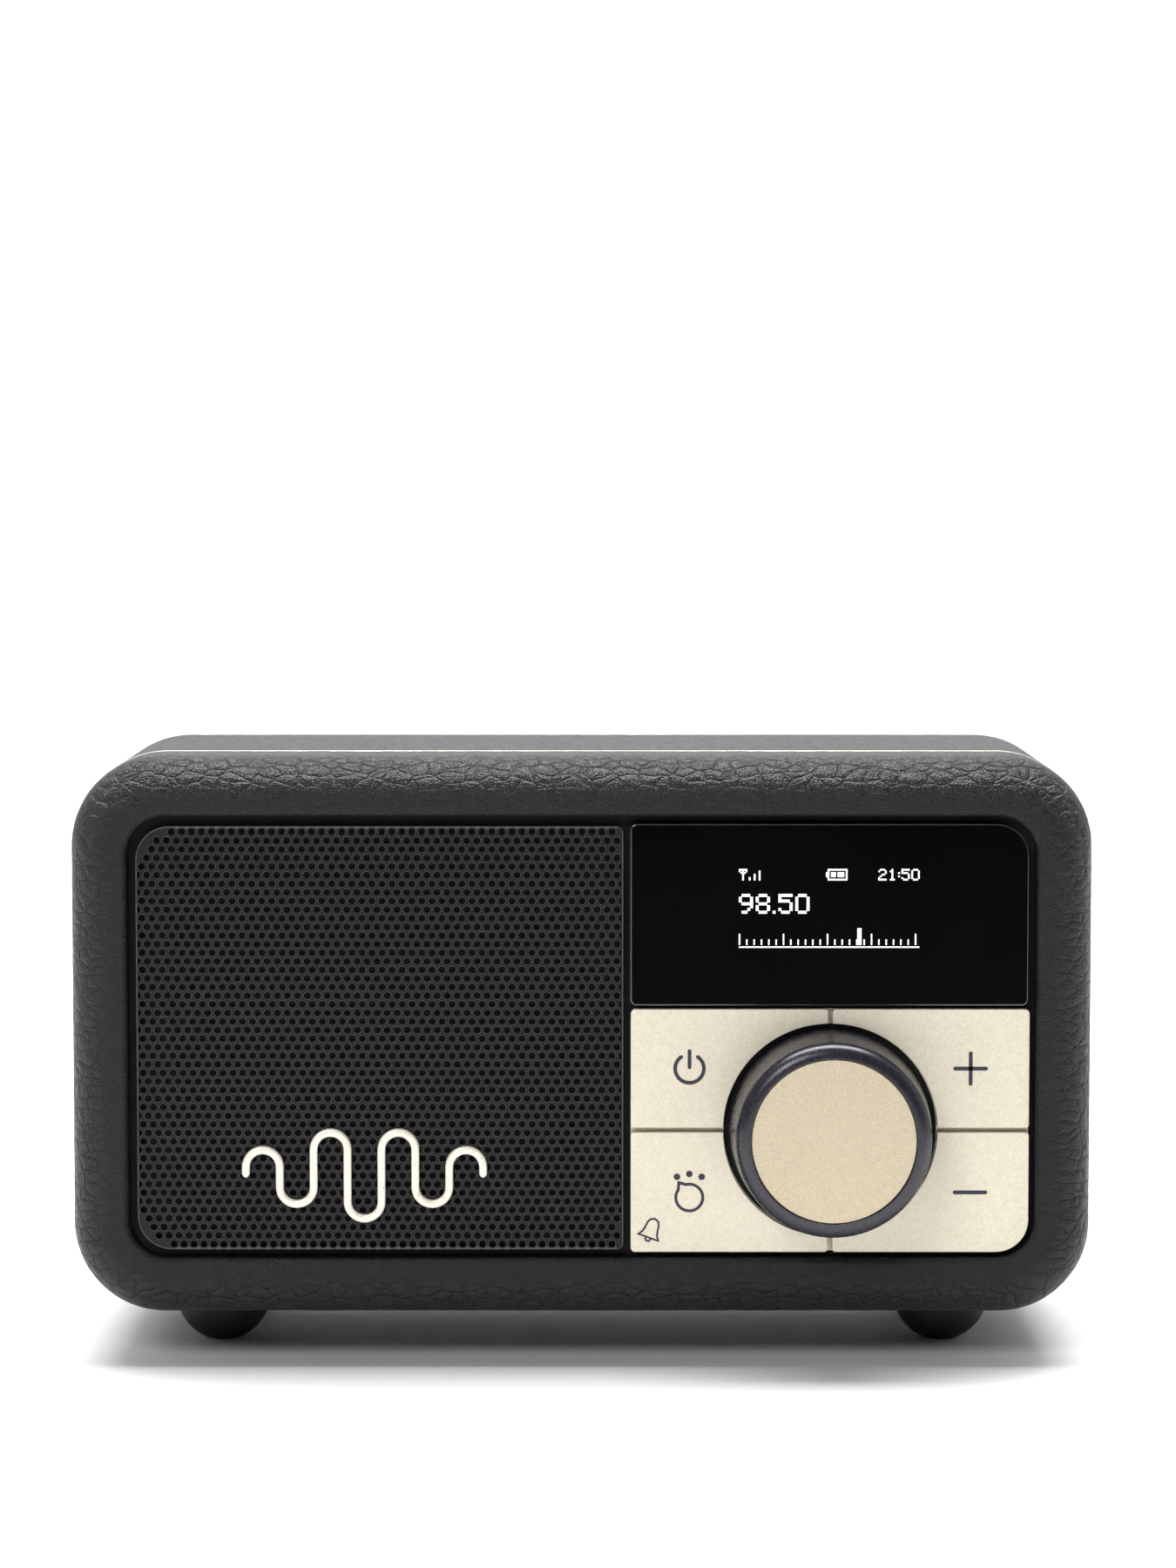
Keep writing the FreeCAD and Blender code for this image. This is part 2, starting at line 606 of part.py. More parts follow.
def make_grille():
    """A folded pan of thin sheet; every row of holes is shifted half a pitch from the last."""
    left, right = size("grille_left"), size("grille_right")
    low, high = size("grille_low"), size("grille_high")
    margin, pitch, radius = size("hole_margin"), size("hole_pitch"), size("hole_radius")
    row_step = pitch * math.sqrt(3) / 2
    rows = int((high - low - 2 * margin) / row_step) + 1
    columns = int((right - left - 2 * margin) / pitch) + 1
    first_z = (low + high - (rows - 1) * row_step) / 2
    first_x = (left + right - (columns - 1) * pitch) / 2
    face_y = size("front_y + grille_front")
    corner = size("grille_radius") + 0.5
    outline = slab("grille_outline", ("grille_left", "grille_right"), ("grille_low", "grille_high"),
                   ("grille_front", "grille_front + grille_sheet"), "grille_radius",
                   low_right="small_radius", high_right="small_radius")
    document.recompute()
    front_face = min(outline.Shape.Faces, key=lambda face: face.CenterOfMass.y)
    wires = [front_face.OuterWire]
    for row in range(rows):
        z = first_z + row * row_step
        shifted = row % 2
        for column in range(columns - shifted):
            x = first_x + (column + shifted / 2) * pitch
            near_corner = x < left + corner and (z < low + corner or z > high - corner)
            if not near_corner:
                circle = Part.Circle(Vector(x, face_y, z), Vector(0, 1, 0), radius)
                wires.append(Part.Wire(circle.toShape()))
    sheet_face = Part.makeFace(wires, "Part::FaceMakerBullseye")
    sheet_solid = sheet_face.extrude(Vector(0, size("grille_sheet"), 0))
    perforated = document.addObject("Part::Feature", "grille_sheet")
    perforated.Shape = sheet_solid
    back = ("grille_front + grille_sheet", "baffle_front")
    rim = slab("grille_rim", ("grille_left", "grille_right"), ("grille_low", "grille_high"),
               back, "grille_radius", low_right="small_radius", high_right="small_radius")
    inside = slab("grille_inside", ("grille_left + grille_sheet", "grille_right - grille_sheet"),
                  ("grille_low + grille_sheet", "grille_high - grille_sheet"),
                  ("grille_front + grille_sheet - 1", "baffle_front + 1"),
                  "grille_radius - grille_sheet",
                  low_right="small_radius / 2", high_right="small_radius / 2")
    fold = cut("grille_fold", rim, inside)
    publish(fuse("grille_pan", perforated, fold), "speaker_grille")


def make_dust_cloth():
    publish(box("dust_cloth_sheet", ("speaker_x - 31", "speaker_x + 31"),
                ("baffle_front - 0.4", "baffle_front"), ("speaker_z - 30", "speaker_z + 30")),
            "dust_cloth")


def make_emblem():
    """One ribbon that runs up and down between half circles, tallest in the middle."""
    radius = size("emblem_pitch") / 2
    face_y = size("front_y + emblem_front")
    middle_x, middle_z = size("emblem_x"), size("emblem_z")
    shares = [0.2, 0.5, 0.8, 1.0, 0.8, 0.5, 0.2]
    halves = [share * size("emblem_tall") / 2 for share in shares]
    first_x = middle_x - radius * (len(halves) + 1)
    place_at = Vector(first_x, face_y, middle_z)
    edges = []
    for index, half in enumerate(halves + [0]):
        up = 1 if index % 2 == 0 else -1
        x = first_x + 2 * radius * index
        level = middle_z + up * half
        if index == len(halves):
            level = middle_z
        corner = Vector(x, face_y, level)
        if (corner - place_at).Length > 0.001:
            edges.append(Part.LineSegment(place_at, corner).toShape())
        if index == len(halves):
            break
        crown = Vector(x + radius, face_y, level + up * radius)
        place_at = Vector(x + 2 * radius, face_y, level)
        edges.append(Part.Arc(corner, crown, place_at).toShape())
    ribbon = Part.Wire(edges).makeOffset2D(size("emblem_stroke") / 2, 0, True, False, False)
    thickness = size("grille_front - emblem_front")
    solid = ribbon.extrude(Vector(0, thickness, 0))
    item = document.addObject("Part::Feature", "emblem_ribbon")
    item.Shape = solid.Solids[0]
    publish(item, "emblem")


def make_display():
    publish(slab("lens_plate", ("lens_left", "lens_right"), ("lens_low", "lens_high"),
                 ("lens_front", "baffle_front"), "small_radius", high_right="tile_radius"),
            "display_lens")
    back = "baffle_front + baffle_thick"
    glass = box("display_glass", ("21", "55"), ("baffle_front + 0.4", back), ("61", "79"))
    board = box("display_board", ("16", "60"), (back, f"{back} + 3"), ("57", "83"))
    publish(fuse("display_stack", glass, board), "display_module")


def make_control_plate():
    plate = slab("control_plate_blank", ("tiles_left", "tiles_right"), ("tiles_low", "tiles_high"),
                 ("control_plate_front", "baffle_front"), "small_radius", low_right="tile_radius")
    holes = [rod("control_bushing_hole", "+Y", "3.6", "3", "knob_x", "control_plate_front - 1", "knob_z")]
    for index, (x, z) in enumerate(stem_places()):
        holes.append(rod(f"control_stem_hole_{index}", "+Y", "stem_radius + 0.5", "3",
                         x, "control_plate_front - 1", z))
    publish(cut("control_plate_cut", plate, *holes), "control_plate")


def make_button(label, x_range, z_range, stem_x, stem_z, low_right="small_radius"):
    """A tile with a round bite for the knob and a stem that reaches its switch."""
    back = "tile_front + tile_thick"
    body = slab(label + "_tile", x_range, z_range, ("tile_front", back), "small_radius",
                low_right=low_right)
    bite = front_sketch(body, label + "_bite", "tile_front - 1")
    draw_circle(bite, "knob_x", "knob_z", "tile_hole")
    pocket(body, bite, "tile_thick + 2")
    stem = front_sketch(body, label + "_stem", back)
    draw_circle(stem, stem_x, stem_z, "stem_radius")
    pad(body, stem, f"stem_end - ({back})")
    publish(body, label)


def make_buttons():
    left = ("tiles_left", "knob_x - tile_gap / 2")
    right = ("knob_x + tile_gap / 2", "tiles_right")
    low = ("tiles_low", "knob_z - tile_gap / 2")
    high = ("knob_z + tile_gap / 2", "tiles_high")
    columns = (("knob_x - stem_across", left), ("knob_x + stem_across", right))
    make_button("power_button", left, high, columns[0][0], "knob_z + stem_up")
    make_button("source_button", left, low, columns[0][0], "knob_z - stem_up")
    make_button("plus_button", right, high, columns[1][0], "knob_z + stem_up")
    make_button("minus_button", right, low, columns[1][0], "knob_z - stem_up", "tile_radius")


def make_front_board():
    board = box("front_board_blank", ("tiles_left + 0.5", "tiles_right - 6.9"),
                ("board_front", "board_front + board_thick"), ("tiles_low + 1", "tiles_high - 0.6"))
    holes = [rod(f"front_board_hole_{index}", "+Y", "1.1", "4", x, "board_front - 1", z)
             for index, (x, z) in enumerate(board_post_places())]
    publish(cut("front_board_cut", board, *holes), "front_pcb")
    screws = [screw(f"front_board_screw_{index}", "-Y", "2", "1.2", "1", "5.6",
                    x, "board_front + board_thick + 1.2", z)
              for index, (x, z) in enumerate(board_post_places())]
    publish(group("front_board_screw_group", screws), "pcb_screws")


def make_switches():
    switches = []
    for index, (x, z) in enumerate(stem_places()):
        case = box(f"switch_case_{index}", (f"{x} - switch_side", f"{x} + switch_side"),
                   ("switch_front", "board_front"), (f"{z} - switch_side", f"{z} + switch_side"))
        well = rod(f"switch_well_{index}", "+Y", "stem_radius + 0.1", "2.4", x, "switch_front - 1", z)
        switches.append(cut(f"switch_{index}", case, well))
    publish(group("switch_group", switches), "tact_switches")


# ---------------------------------------------------------------- knob and rotary control

def make_rotary_control():
    back = "baffle_front + baffle_thick"
    case = box("encoder_case", ("knob_x - 6", "knob_x + 6"), (back, "board_front"),
               ("knob_z - 6", "knob_z + 6"))
    bushing = rod("encoder_bushing", "+Y", "3.5", f"{back} + 1", "knob_x", "-1", "knob_z")
    bore = rod("encoder_bore", "+Y", "shaft_radius + running_gap", "9", "knob_x", "-2", "knob_z")
    well = rod("encoder_well", "+Y", "4.2", "3.4", "knob_x", "7", "knob_z")
    publish(cut("encoder_cut", fuse("encoder_solids", case, bushing), bore, well), "encoder_housing")
    washer = tube("encoder_washer", "+Y", "5.5", "3.5", "0.5", "knob_x",
                  "control_plate_front - 0.5", "knob_z")
    nut = document.addObject("Part::Prism", "encoder_nut_blank")
    nut.Polygon = 6
    nut.Placement = FreeCAD.Placement(Vector(), TURNS["+Y"])
    bind(nut, "Circumradius", "5.5")
    bind(nut, "Height", "1.8")
    place(nut, "knob_x", "control_plate_front - 2.3", "knob_z")
    thread = rod("encoder_nut_bore", "+Y", "3.5", "3", "knob_x", "control_plate_front - 3", "knob_z")
    publish(group("encoder_nut_group", [washer, cut("encoder_nut_ring", nut, thread)]), "encoder_nut")
    publish(rod("encoder_shaft_rod", "+Y", "shaft_radius", "8.6 - (knob_front + 2.9)",
                "knob_x", "knob_front + 2.9", "knob_z"), "encoder_shaft")
    publish(rod("encoder_carriage_disc", "+Y", "4.1", "0.95", "knob_x", "8.65", "knob_z"),
            "encoder_carriage")


def make_knob():
    """A hollow turned knob with a fat rim round a recessed disc."""
    profile = [
        ("0", "knob_front + 1.1"),
        ("knob_cap_radius + 0.05", "knob_front + 1.1"),
        ("knob_cap_radius + 0.05", "knob_front"),
        ("knob_nose", "knob_front"),
        ("knob_base", "knob_front + knob_length"),
        ("knob_hollow", "knob_front + knob_length"),
        ("knob_hollow", "knob_front + 3.5"),
        ("5.5", "knob_front + 3.5"),
        ("5.5", "knob_front + 8.4"),
        ("shaft_radius", "knob_front + 8.4"),
        ("shaft_radius", "knob_front + 2.9"),
        ("0", "knob_front + 2.9"),
    ]
    body = turned("knob_turned", "knob_x", "knob_z", profile)
    round_edges(body, body.Tip, "knob_front", "0.9")
    publish(body, "knob_body")
    publish(rod("knob_disc", "+Y", "knob_cap_radius", "0.8", "knob_x", "knob_front + 0.3", "knob_z"),
            "knob_cap")


# ---------------------------------------------------------------- loudspeaker

def make_speaker():
    gasket = tube("gasket_ring", "+Y", "speaker_flange - 0.5", "speaker_opening", "1",
                  "speaker_x", "5.2", "speaker_z")
    frame = turned("speaker_basket", "speaker_x", "speaker_z", [
        ("26", "6.2"), ("speaker_flange", "6.2"), ("speaker_flange", "7.4"), ("27.4", "7.4"),
        ("20.2", "22.8"), ("20.2", "24"), ("10.5", "24"), ("10.5", "22.8"), ("19.2", "22.8"),
        ("26.2", "8")])
    wide = box("basket_window_wide", ("speaker_x - 40", "speaker_x + 40"), ("10", "20"),
               ("speaker_z - 8", "speaker_z + 8"))
    tall = box("basket_window_tall", ("speaker_x - 8", "speaker_x + 8"), ("10", "20"),
               ("speaker_z - 40", "speaker_z + 40"))
    holes = [rod(f"flange_hole_{index}", "+Y", "1", "4", x, "5", z)
             for index, (x, z) in enumerate(speaker_screw_places())]
    publish(cut("gasket_cut", gasket, *holes), "speaker_gasket")
    publish(cut("speaker_frame_cut", frame, wide, tall, *holes), "speaker_frame")
    publish(turned("surround_roll", "speaker_x", "speaker_z", [
        ("21.5", "6.4"), ("22.5", "6.4"), ("23.2", "5.4"), ("24.8", "5.4"), ("25.5", "6.4"),
        ("26", "6.4"), ("26", "6.9"), ("25.2", "6.9"), ("24.5", "5.9"), ("23.5", "5.9"),
        ("22.8", "6.9"), ("21.5", "6.9")]), "speaker_surround")
    publish(turned("cone_paper", "speaker_x", "speaker_z", [
        ("21.5", "6.4"), ("21.5", "6.9"), ("9", "15"), ("9", "14.5")]), "speaker_cone")
    publish(turned("dust_cap_dome", "speaker_x", "speaker_z", [
        ("0", "11"), ("4", "11.5"), ("7", "12.8"), ("8.9", "14.5"), ("8.9", "15"),
        ("6.8", "13.3"), ("3.8", "12"), ("0", "11.5")]), "speaker_dust_cap")
    publish(tube("coil_tube", "+Y", "9", "8.5", "11", "speaker_x", "15", "speaker_z"), "voice_coil")
    publish(tube("spider_disc", "+Y", "21.2", "9", "0.5", "speaker_x", "18", "speaker_z"), "spider")
    publish(turned("magnet_stack", "speaker_x", "speaker_z", [
        ("0", "23"), ("7.9", "23"), ("7.9", "31"), ("9.8", "31"), ("9.8", "24"), ("20", "24"),
        ("20", "34"), ("0", "34")]), "speaker_magnet")
    screws = [screw(f"speaker_screw_{index}", "-Y", "2.2", "1.2", "1", "3.8", x, "8.6", z)
              for index, (x, z) in enumerate(speaker_screw_places())]
    publish(group("speaker_screw_group", screws), "speaker_screws")


# ---------------------------------------------------------------- battery, main board and sockets

def make_battery():
    tray = box("tray_block", ("cell_left - 1.2", "cell_left + cell_length + 1.3"), ("15", "54"),
               ("61", "cell_z"))
    lugs = [box(f"tray_lug_{index}", (start, end), ("53", "plate_front"), ("62", "70"))
            for index, (start, end) in enumerate((("-6", "0"), ("44", "50")))]
    cells = []
    wells = []
    for index, depth in enumerate(("cell_depth", "cell_depth + cell_spacing")):
        cells.append(rod(f"cell_{index}", "+X", "cell_radius", "cell_length", "cell_left", depth, "cell_z"))
        wells.append(rod(f"cell_well_{index}", "+X", "cell_radius + 0.1", "cell_length + 0.2",
                         "cell_left - 0.1", depth, "cell_z"))
    publish(cut("tray_cut", fuse("tray_solids", tray, *lugs), *wells), "battery_holder")
    publish(group("cell_group", cells), "battery_cells")


def make_main_board():
    board = box("main_board_blank", ("-60", "30"), ("22", "ledge_front - 0.2"),
                ("main_board_z", "main_board_z + board_thick"))
    holes = [rod(f"main_board_hole_{index}", "+Z", "1.4", "4", x, depth, "main_board_z - 1")
             for index, (x, depth) in enumerate(post_places())]
    publish(cut("main_board_cut", board, *holes), "main_pcb")
    screws = [screw(f"main_board_screw_{index}", "-Z", "2.4", "1.4", "1.25", "8",
                    x, depth, "main_board_z + board_thick + 1.4")
              for index, (x, depth) in enumerate(post_places())]
    publish(group("main_board_screw_group", screws), "board_screws")


def make_sockets():
    top = "main_board_z + board_thick"
    case = box("jack_case", ("jack_x - 3", "jack_x + 3"), ("jack_mouth - jack_length - 0.8", "56"),
               (top, f"{top} + 6"))
    nose = rod("jack_nose", "+Y", "3", "jack_mouth - 56", "jack_x", "56", "jack_z")
    bore = rod("jack_bore_rod", "+Y", "jack_bore", "jack_length + 1", "jack_x",
               "jack_mouth - jack_length", "jack_z")
    publish(cut("jack_cut", fuse("jack_solids", case, nose), bore), "headphone_socket")

    shell = slab("usb_shell", ("usb_x - 4.5", "usb_x + 4.5"), ("usb_z - 1.65", "usb_z + 1.65"),
                 ("51", "plate_back"), "1.5")
    mouth = slab("usb_mouth", ("usb_x - 4.2", "usb_x + 4.2"), ("usb_z - 1.35", "usb_z + 1.35"),
                 ("52", "plate_back + 1"), "1.2")
    tongue = box("usb_tongue", ("usb_x - 3.3", "usb_x + 3.3"), ("51.5", "plate_back - 0.8"),
                 ("usb_z - 0.35", "usb_z + 0.35"))
    publish(fuse("usb_solids", cut("usb_cut", shell, mouth), tongue), "usb_socket")


def make_leads():
    lead("speaker_lead", [(-31, 34, 40), (-31, 40, 40), (-28, 42, 34), (-26, 42, 29), (-25.5, 42, 24)], 0.7)
    lead("battery_lead", [(20, 36, 61), (20, 36, 54), (16, 38, 44), (20, 40, 33), (20.5, 40, 24)], 0.7)
    lead("signal_lead", [(16, 12.6, 34), (16, 18, 34), (16, 23, 31), (16, 26, 28), (16, 26.3, 24)], 0.7)
    lead("aerial_lead", [(62.4, 56.5, 66), (62.4, 50, 65.5), (62.8, 43, 62), (63, 35, 55), (62, 26, 49),
                         (61, 19, 46), (60.5, 12.6, 45.5)], 0.7)


# ---------------------------------------------------------------- aerial

def make_aerial():
    """A turret in the rear plate, a fork, a mast that tips in the fork, and telescopic tubes."""
    publish(tube("aerial_collar", "+Y", "7", "shaft_radius + running_gap", "1.5", "aerial_x",
                 "plate_back", "aerial_z"), "aerial_mount")
    spindle = rod("aerial_spindle", "+Y", "shaft_radius", "60.4 - 54.5", "aerial_x", "54.5", "aerial_z")
    disc = rod("aerial_disc", "+Y", "5.5", "1", "aerial_x", "60.1", "aerial_z")
    ears = [box(f"aerial_ear_{index}", ("aerial_x - 3.5", "aerial_x + 3.5"), ("61", "aerial_rear"), span)
            for index, span in enumerate((("aerial_z - 4.3", "aerial_z - 2.8"),
                                          ("aerial_z + 2.8", "aerial_z + 4.3")))]
    eyes = rod("aerial_eyes", "+Z", "1", "10", "aerial_x", "aerial_depth", "aerial_z - 5")
    publish(cut("aerial_fork", fuse("aerial_solids", spindle, disc, *ears), eyes), "aerial_base")
    publish(tube("aerial_nut_ring", "+Y", "5", "shaft_radius", "1.4", "aerial_x", "54.9", "aerial_z"),
            "aerial_nut")
    publish(rod("aerial_pin_rod", "+Z", "1", "8.6", "aerial_x", "aerial_depth", "aerial_z - 4.3"),
            "aerial_pin")

    root = rod("mast_root", "+Z", "mast_radius", "5.2", "aerial_x", "aerial_depth", "aerial_z - 2.6")
    start = "aerial_x - 1"
    tubing = rod("mast_tubing", "-X", "mast_radius", f"{start} - mast_end", start, "aerial_depth", "aerial_z")
    inside = rod("mast_inside", "-X", "mast_radius - tube_step + running_gap", "100",
                 "mast_end + 99", "aerial_depth", "aerial_z")
    eye = rod("mast_eye", "+Z", "1 + running_gap", "8", "aerial_x", "aerial_depth", "aerial_z - 4")
    publish(cut("mast_cut", fuse("mast_solids", root, tubing), inside, eye), "aerial_mast")

    for number in (2, 3):
        radius = f"mast_radius - {number - 1} * tube_step"
        end = f"mast_end - {number - 1} * tube_stagger"
        inner = f"{radius} - tube_step + running_gap"
        publish(tube(f"tube_{number}", "-X", radius, inner, "98", f"{end} + 98",
                     "aerial_depth", "aerial_z"), f"aerial_section_{number}")
    end = "mast_end - 3 * tube_stagger"
    publish(rod("tube_last", "-X", "mast_radius - 3 * tube_step", "96", f"{end} + 96",
                "aerial_depth", "aerial_z"), "aerial_section_4")
    publish(rod("tip_bead", "-X", "mast_radius", "3", end, "aerial_depth", "aerial_z"), "aerial_tip")


def make_aerial_rest():
    """A shelf on the rear plate, open above and behind, that carries the stowed mast."""
    foot = box("rest_foot", ("-46", "-38"), ("plate_back", "plate_back + 1"),
               ("aerial_z - 10", "aerial_z - mast_radius - 0.3"))
    shelf = box("rest_shelf", ("-44", "-40"), ("plate_back", "aerial_depth + 2.6"),
                ("aerial_z - mast_radius - 2.3", "aerial_z - mast_radius - 0.3"))
    publish(fuse("rest_solids", foot, shelf), "aerial_rest")


# ---------------------------------------------------------------- checks and export

def check_document():
    """Stops if a feature failed, if a cut removed nothing or if a sub-part isn't sound."""
    for item in document.Objects:
        if "Invalid" in item.State or "Error" in item.State:
            raise ValueError(f"{item.Name}: {item.State}")
        if item.TypeId == "PartDesign::Pocket":
            if item.Shape.Volume > item.BaseFeature.Shape.Volume - 0.001:
                raise ValueError(f"{item.Name} cuts nothing")
    for item in nodes:
        if item.Shape.isNull() or not item.Shape.isValid():
            raise ValueError(f"{item.Label} has no sound shape")
        if any(solid.Volume <= 0 for solid in item.Shape.Solids) or not item.Shape.Solids:
            raise ValueError(f"{item.Label} has no closed solid")


def main():
    for make in (make_front_case, make_piping, make_rear_case, make_rear_plate, make_case_screws,
                 make_feet, make_baffle, make_grille, make_dust_cloth, make_emblem, make_display,
                 make_control_plate, make_buttons, make_front_board, make_switches,
                 make_rotary_control, make_knob, make_speaker, make_battery, make_main_board,
                 make_sockets, make_leads, make_aerial, make_aerial_rest):
        make()
    document.recompute()
    check_document()
    os.makedirs("parts", exist_ok=True)
    for item in nodes:
        item.Shape.exportStep(f"parts/{item.Label}.step")
    print(f"{len(nodes)} sub-parts written")


main()
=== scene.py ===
import itertools
import json
import math

import bpy
import numpy as np
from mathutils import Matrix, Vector
from mathutils.geometry import delaunay_2d_cdt


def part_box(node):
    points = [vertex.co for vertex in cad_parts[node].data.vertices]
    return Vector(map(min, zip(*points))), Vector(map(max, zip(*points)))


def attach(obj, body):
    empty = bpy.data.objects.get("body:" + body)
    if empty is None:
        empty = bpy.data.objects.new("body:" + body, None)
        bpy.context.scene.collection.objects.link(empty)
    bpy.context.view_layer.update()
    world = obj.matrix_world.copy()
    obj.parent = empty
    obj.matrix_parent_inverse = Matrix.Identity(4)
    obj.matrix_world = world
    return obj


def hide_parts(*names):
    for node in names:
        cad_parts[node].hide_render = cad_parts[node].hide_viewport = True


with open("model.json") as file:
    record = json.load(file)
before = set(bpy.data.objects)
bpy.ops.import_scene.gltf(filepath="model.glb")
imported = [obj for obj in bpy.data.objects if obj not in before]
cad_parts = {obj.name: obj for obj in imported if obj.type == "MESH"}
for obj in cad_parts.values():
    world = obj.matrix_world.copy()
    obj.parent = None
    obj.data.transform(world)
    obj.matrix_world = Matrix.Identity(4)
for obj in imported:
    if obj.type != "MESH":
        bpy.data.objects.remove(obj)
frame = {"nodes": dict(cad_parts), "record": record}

MM = 0.001
QUARTER = math.pi / 2
FULL_TURN = 2 * math.pi

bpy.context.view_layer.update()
front_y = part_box("front_leather")[0].y


def depth(distance_mm):
    """The y of a plane that far behind the front of the leather."""
    return front_y + distance_mm * MM


# ------------------------------------------------------------------ materials

def add_node(made, kind, inputs=(), **settings):
    """A shader node whose inputs are numbers, colours or the outputs of other nodes."""
    node = made.node_tree.nodes.new("ShaderNode" + kind)
    for name, value in settings.items():
        setattr(node, name, value)
    for socket, value in dict(inputs).items():
        if isinstance(value, bpy.types.NodeSocket):
            made.node_tree.links.new(value, node.inputs[socket])
        else:
            node.inputs[socket].default_value = value
    return node


def new_material(name, **sockets):
    """A material with one principled shader; a socket's spaces are written as underscores."""
    made = bpy.data.materials.new(name)
    made.use_nodes = True
    shader = made.node_tree.nodes["Principled BSDF"]
    for socket, value in sockets.items():
        shader.inputs[socket.replace("_", " ")].default_value = value
    return made, shader


def drive(made, shader, socket, output):
    made.node_tree.links.new(output, shader.inputs[socket])


def object_coordinates(made, scale=(1, 1, 1)):
    """Places on the piece in metres, stretched along each axis."""
    place = add_node(made, "TexCoord").outputs["Object"]
    return add_node(made, "Mapping", {"Vector": place, "Scale": scale}).outputs["Vector"]


def noise(made, place, scale, detail=3.0, roughness=0.55):
    inputs = {"Vector": place, "Scale": scale, "Detail": detail, "Roughness": roughness}
    return add_node(made, "TexNoise", inputs).outputs["Fac"]


def spread(made, value, low, high, from_low=0.0, from_high=1.0):
    """Maps a value onto a new range, held inside it."""
    inputs = {"Value": value, "From Min": from_low, "From Max": from_high, "To Min": low, "To Max": high}
    return add_node(made, "MapRange", inputs).outputs["Result"]


def blend_colours(made, share, first, second):
    node = add_node(made, "Mix", {0: share}, data_type="RGBA")
    node.inputs[6].default_value = (*first, 1)
    node.inputs[7].default_value = (*second, 1)
    return node.outputs[2]


def total(made, first, second, weight):
    inputs = {0: second, 1: weight, 2: first}
    return add_node(made, "Math", inputs, operation="MULTIPLY_ADD").outputs[0]


def vector_math(made, operation, *values):
    return add_node(made, "VectorMath", dict(enumerate(values)), operation=operation).outputs[0]


def bump(made, shader, height, distance, strength=1.0):
    inputs = {"Height": height, "Distance": distance, "Strength": strength}
    drive(made, shader, "Normal", add_node(made, "Bump", inputs).outputs["Normal"])


def grained(name, dark, light, rough, grain, bump_size, **sockets):
    """A finish whose colour, gloss and surface all vary with one fine grain.

    rough is (least, most) roughness, grain is the number of grains in a metre and bump_size
    is their height in metres."""
    made, shader = new_material(name, **sockets)
    place = object_coordinates(made)
    fine = noise(made, place, grain)
    coarse = noise(made, place, grain / 3, 2.0)
    mixed = total(made, fine, coarse, 0.4)
    share = spread(made, mixed, 0, 1, 0.45, 0.95)
    drive(made, shader, "Base Color", blend_colours(made, share, dark, light))
    drive(made, shader, "Roughness", spread(made, mixed, *rough, 0.45, 0.95))
    bump(made, shader, fine, bump_size)
    return made


def leather_finish():
    """Dark leather with creases between its pebbles, beads in them and fine pores; its colour is darker
    in the creases and pores, painted shade, and lighter on the pebble tops, painted highlight.

    The mesh says how strong the creases and their painted shade are at each place, in its "relief"
    attribute."""
    made, shader = new_material("leather", Specular_IOR_Level=0.33)
    place = object_coordinates(made)
    drift = add_node(made, "TexNoise", {"Vector": place, "Scale": 240.0, "Detail": 3.0}).outputs["Color"]
    bent = vector_math(made, "MULTIPLY_ADD", drift, (1.5 * MM,) * 3, place)
    long_cells = vector_math(made, "MULTIPLY", bent, (0.62, 1, 1))
    pebbles = cell_borders(made, long_cells, 520.0)
    beads = cell_borders(made, long_cells, 1150.0)
    pores = cell_borders(made, place, 2400.0)
    creases = spread(made, pebbles, 0, 1, 0.0, 0.09)
    domes = spread(made, pebbles, 0, 1, 0.0, 0.5)
    relief = total(made, creases, domes, 1.7)
    relief = total(made, relief, spread(made, beads, 0, 1, 0.0, 0.12), 0.22)
    strength = add_node(made, "Attribute", attribute_name="relief").outputs["Fac"]
    relief = add_node(made, "Math", {0: relief, 1: strength}, operation="MULTIPLY").outputs[0]
    grain = total(made, spread(made, pores, 0, 1, 0.0, 0.3), noise(made, place, 1500.0, 4.0, 0.65), 1.6)
    height = total(made, relief, grain, 0.55)
    # Painted shade and highlight: the colour follows the height, darker in the creases and pores,
    # lighter on the pebble tops.
    share = spread(made, height, 0, 1, 0.3, 2.0)
    colour = blend_colours(made, share, (0.003, 0.003, 0.0034), (0.0105, 0.0105, 0.011))
    drive(made, shader, "Base Color", colour)
    drive(made, shader, "Roughness", spread(made, height, 0.5, 0.36, 0.3, 2.0))
    bump(made, shader, height, 0.11 * MM)
    return made


def cell_borders(made, place, scale):
    """The distance to the nearest border between cells; scale is their number in a metre."""
    inputs = {"Vector": place, "Scale": scale}
    return add_node(made, "TexVoronoi", inputs, feature="DISTANCE_TO_EDGE").outputs["Distance"]


def brushed_disc_finish(centre):
    """Champagne metal brushed outwards from the middle of the knob."""
    made, shader = new_material("knob_disc", Metallic=0.75)
    place = add_node(made, "TexCoord").outputs["Object"]
    arm = vector_math(made, "SUBTRACT", place, (centre.x, 0, centre.z))
    flat = vector_math(made, "MULTIPLY", arm, (1, 0, 1))
    ray = vector_math(made, "NORMALIZE", flat)
    reach = add_node(made, "VectorMath", {0: flat, "Scale": 260.0}, operation="SCALE").outputs[0]
    streak_place = vector_math(made, "MULTIPLY_ADD", ray, (34, 34, 34), reach)
    streaks = noise(made, streak_place, 1.6, 4.0, 0.7)
    specks = noise(made, place, 3400.0, 2.0)
    mixed = total(made, streaks, specks, 0.8)
    share = spread(made, mixed, 0, 1, 0.6, 1.2)
    colour = blend_colours(made, share, (0.50, 0.42, 0.295), (0.71, 0.62, 0.465))
    drive(made, shader, "Base Color", colour)
    drive(made, shader, "Roughness", spread(made, mixed, 0.36, 0.5, 0.5, 1.05))
    bump(made, shader, mixed, 0.01 * MM, 0.6)
    return made


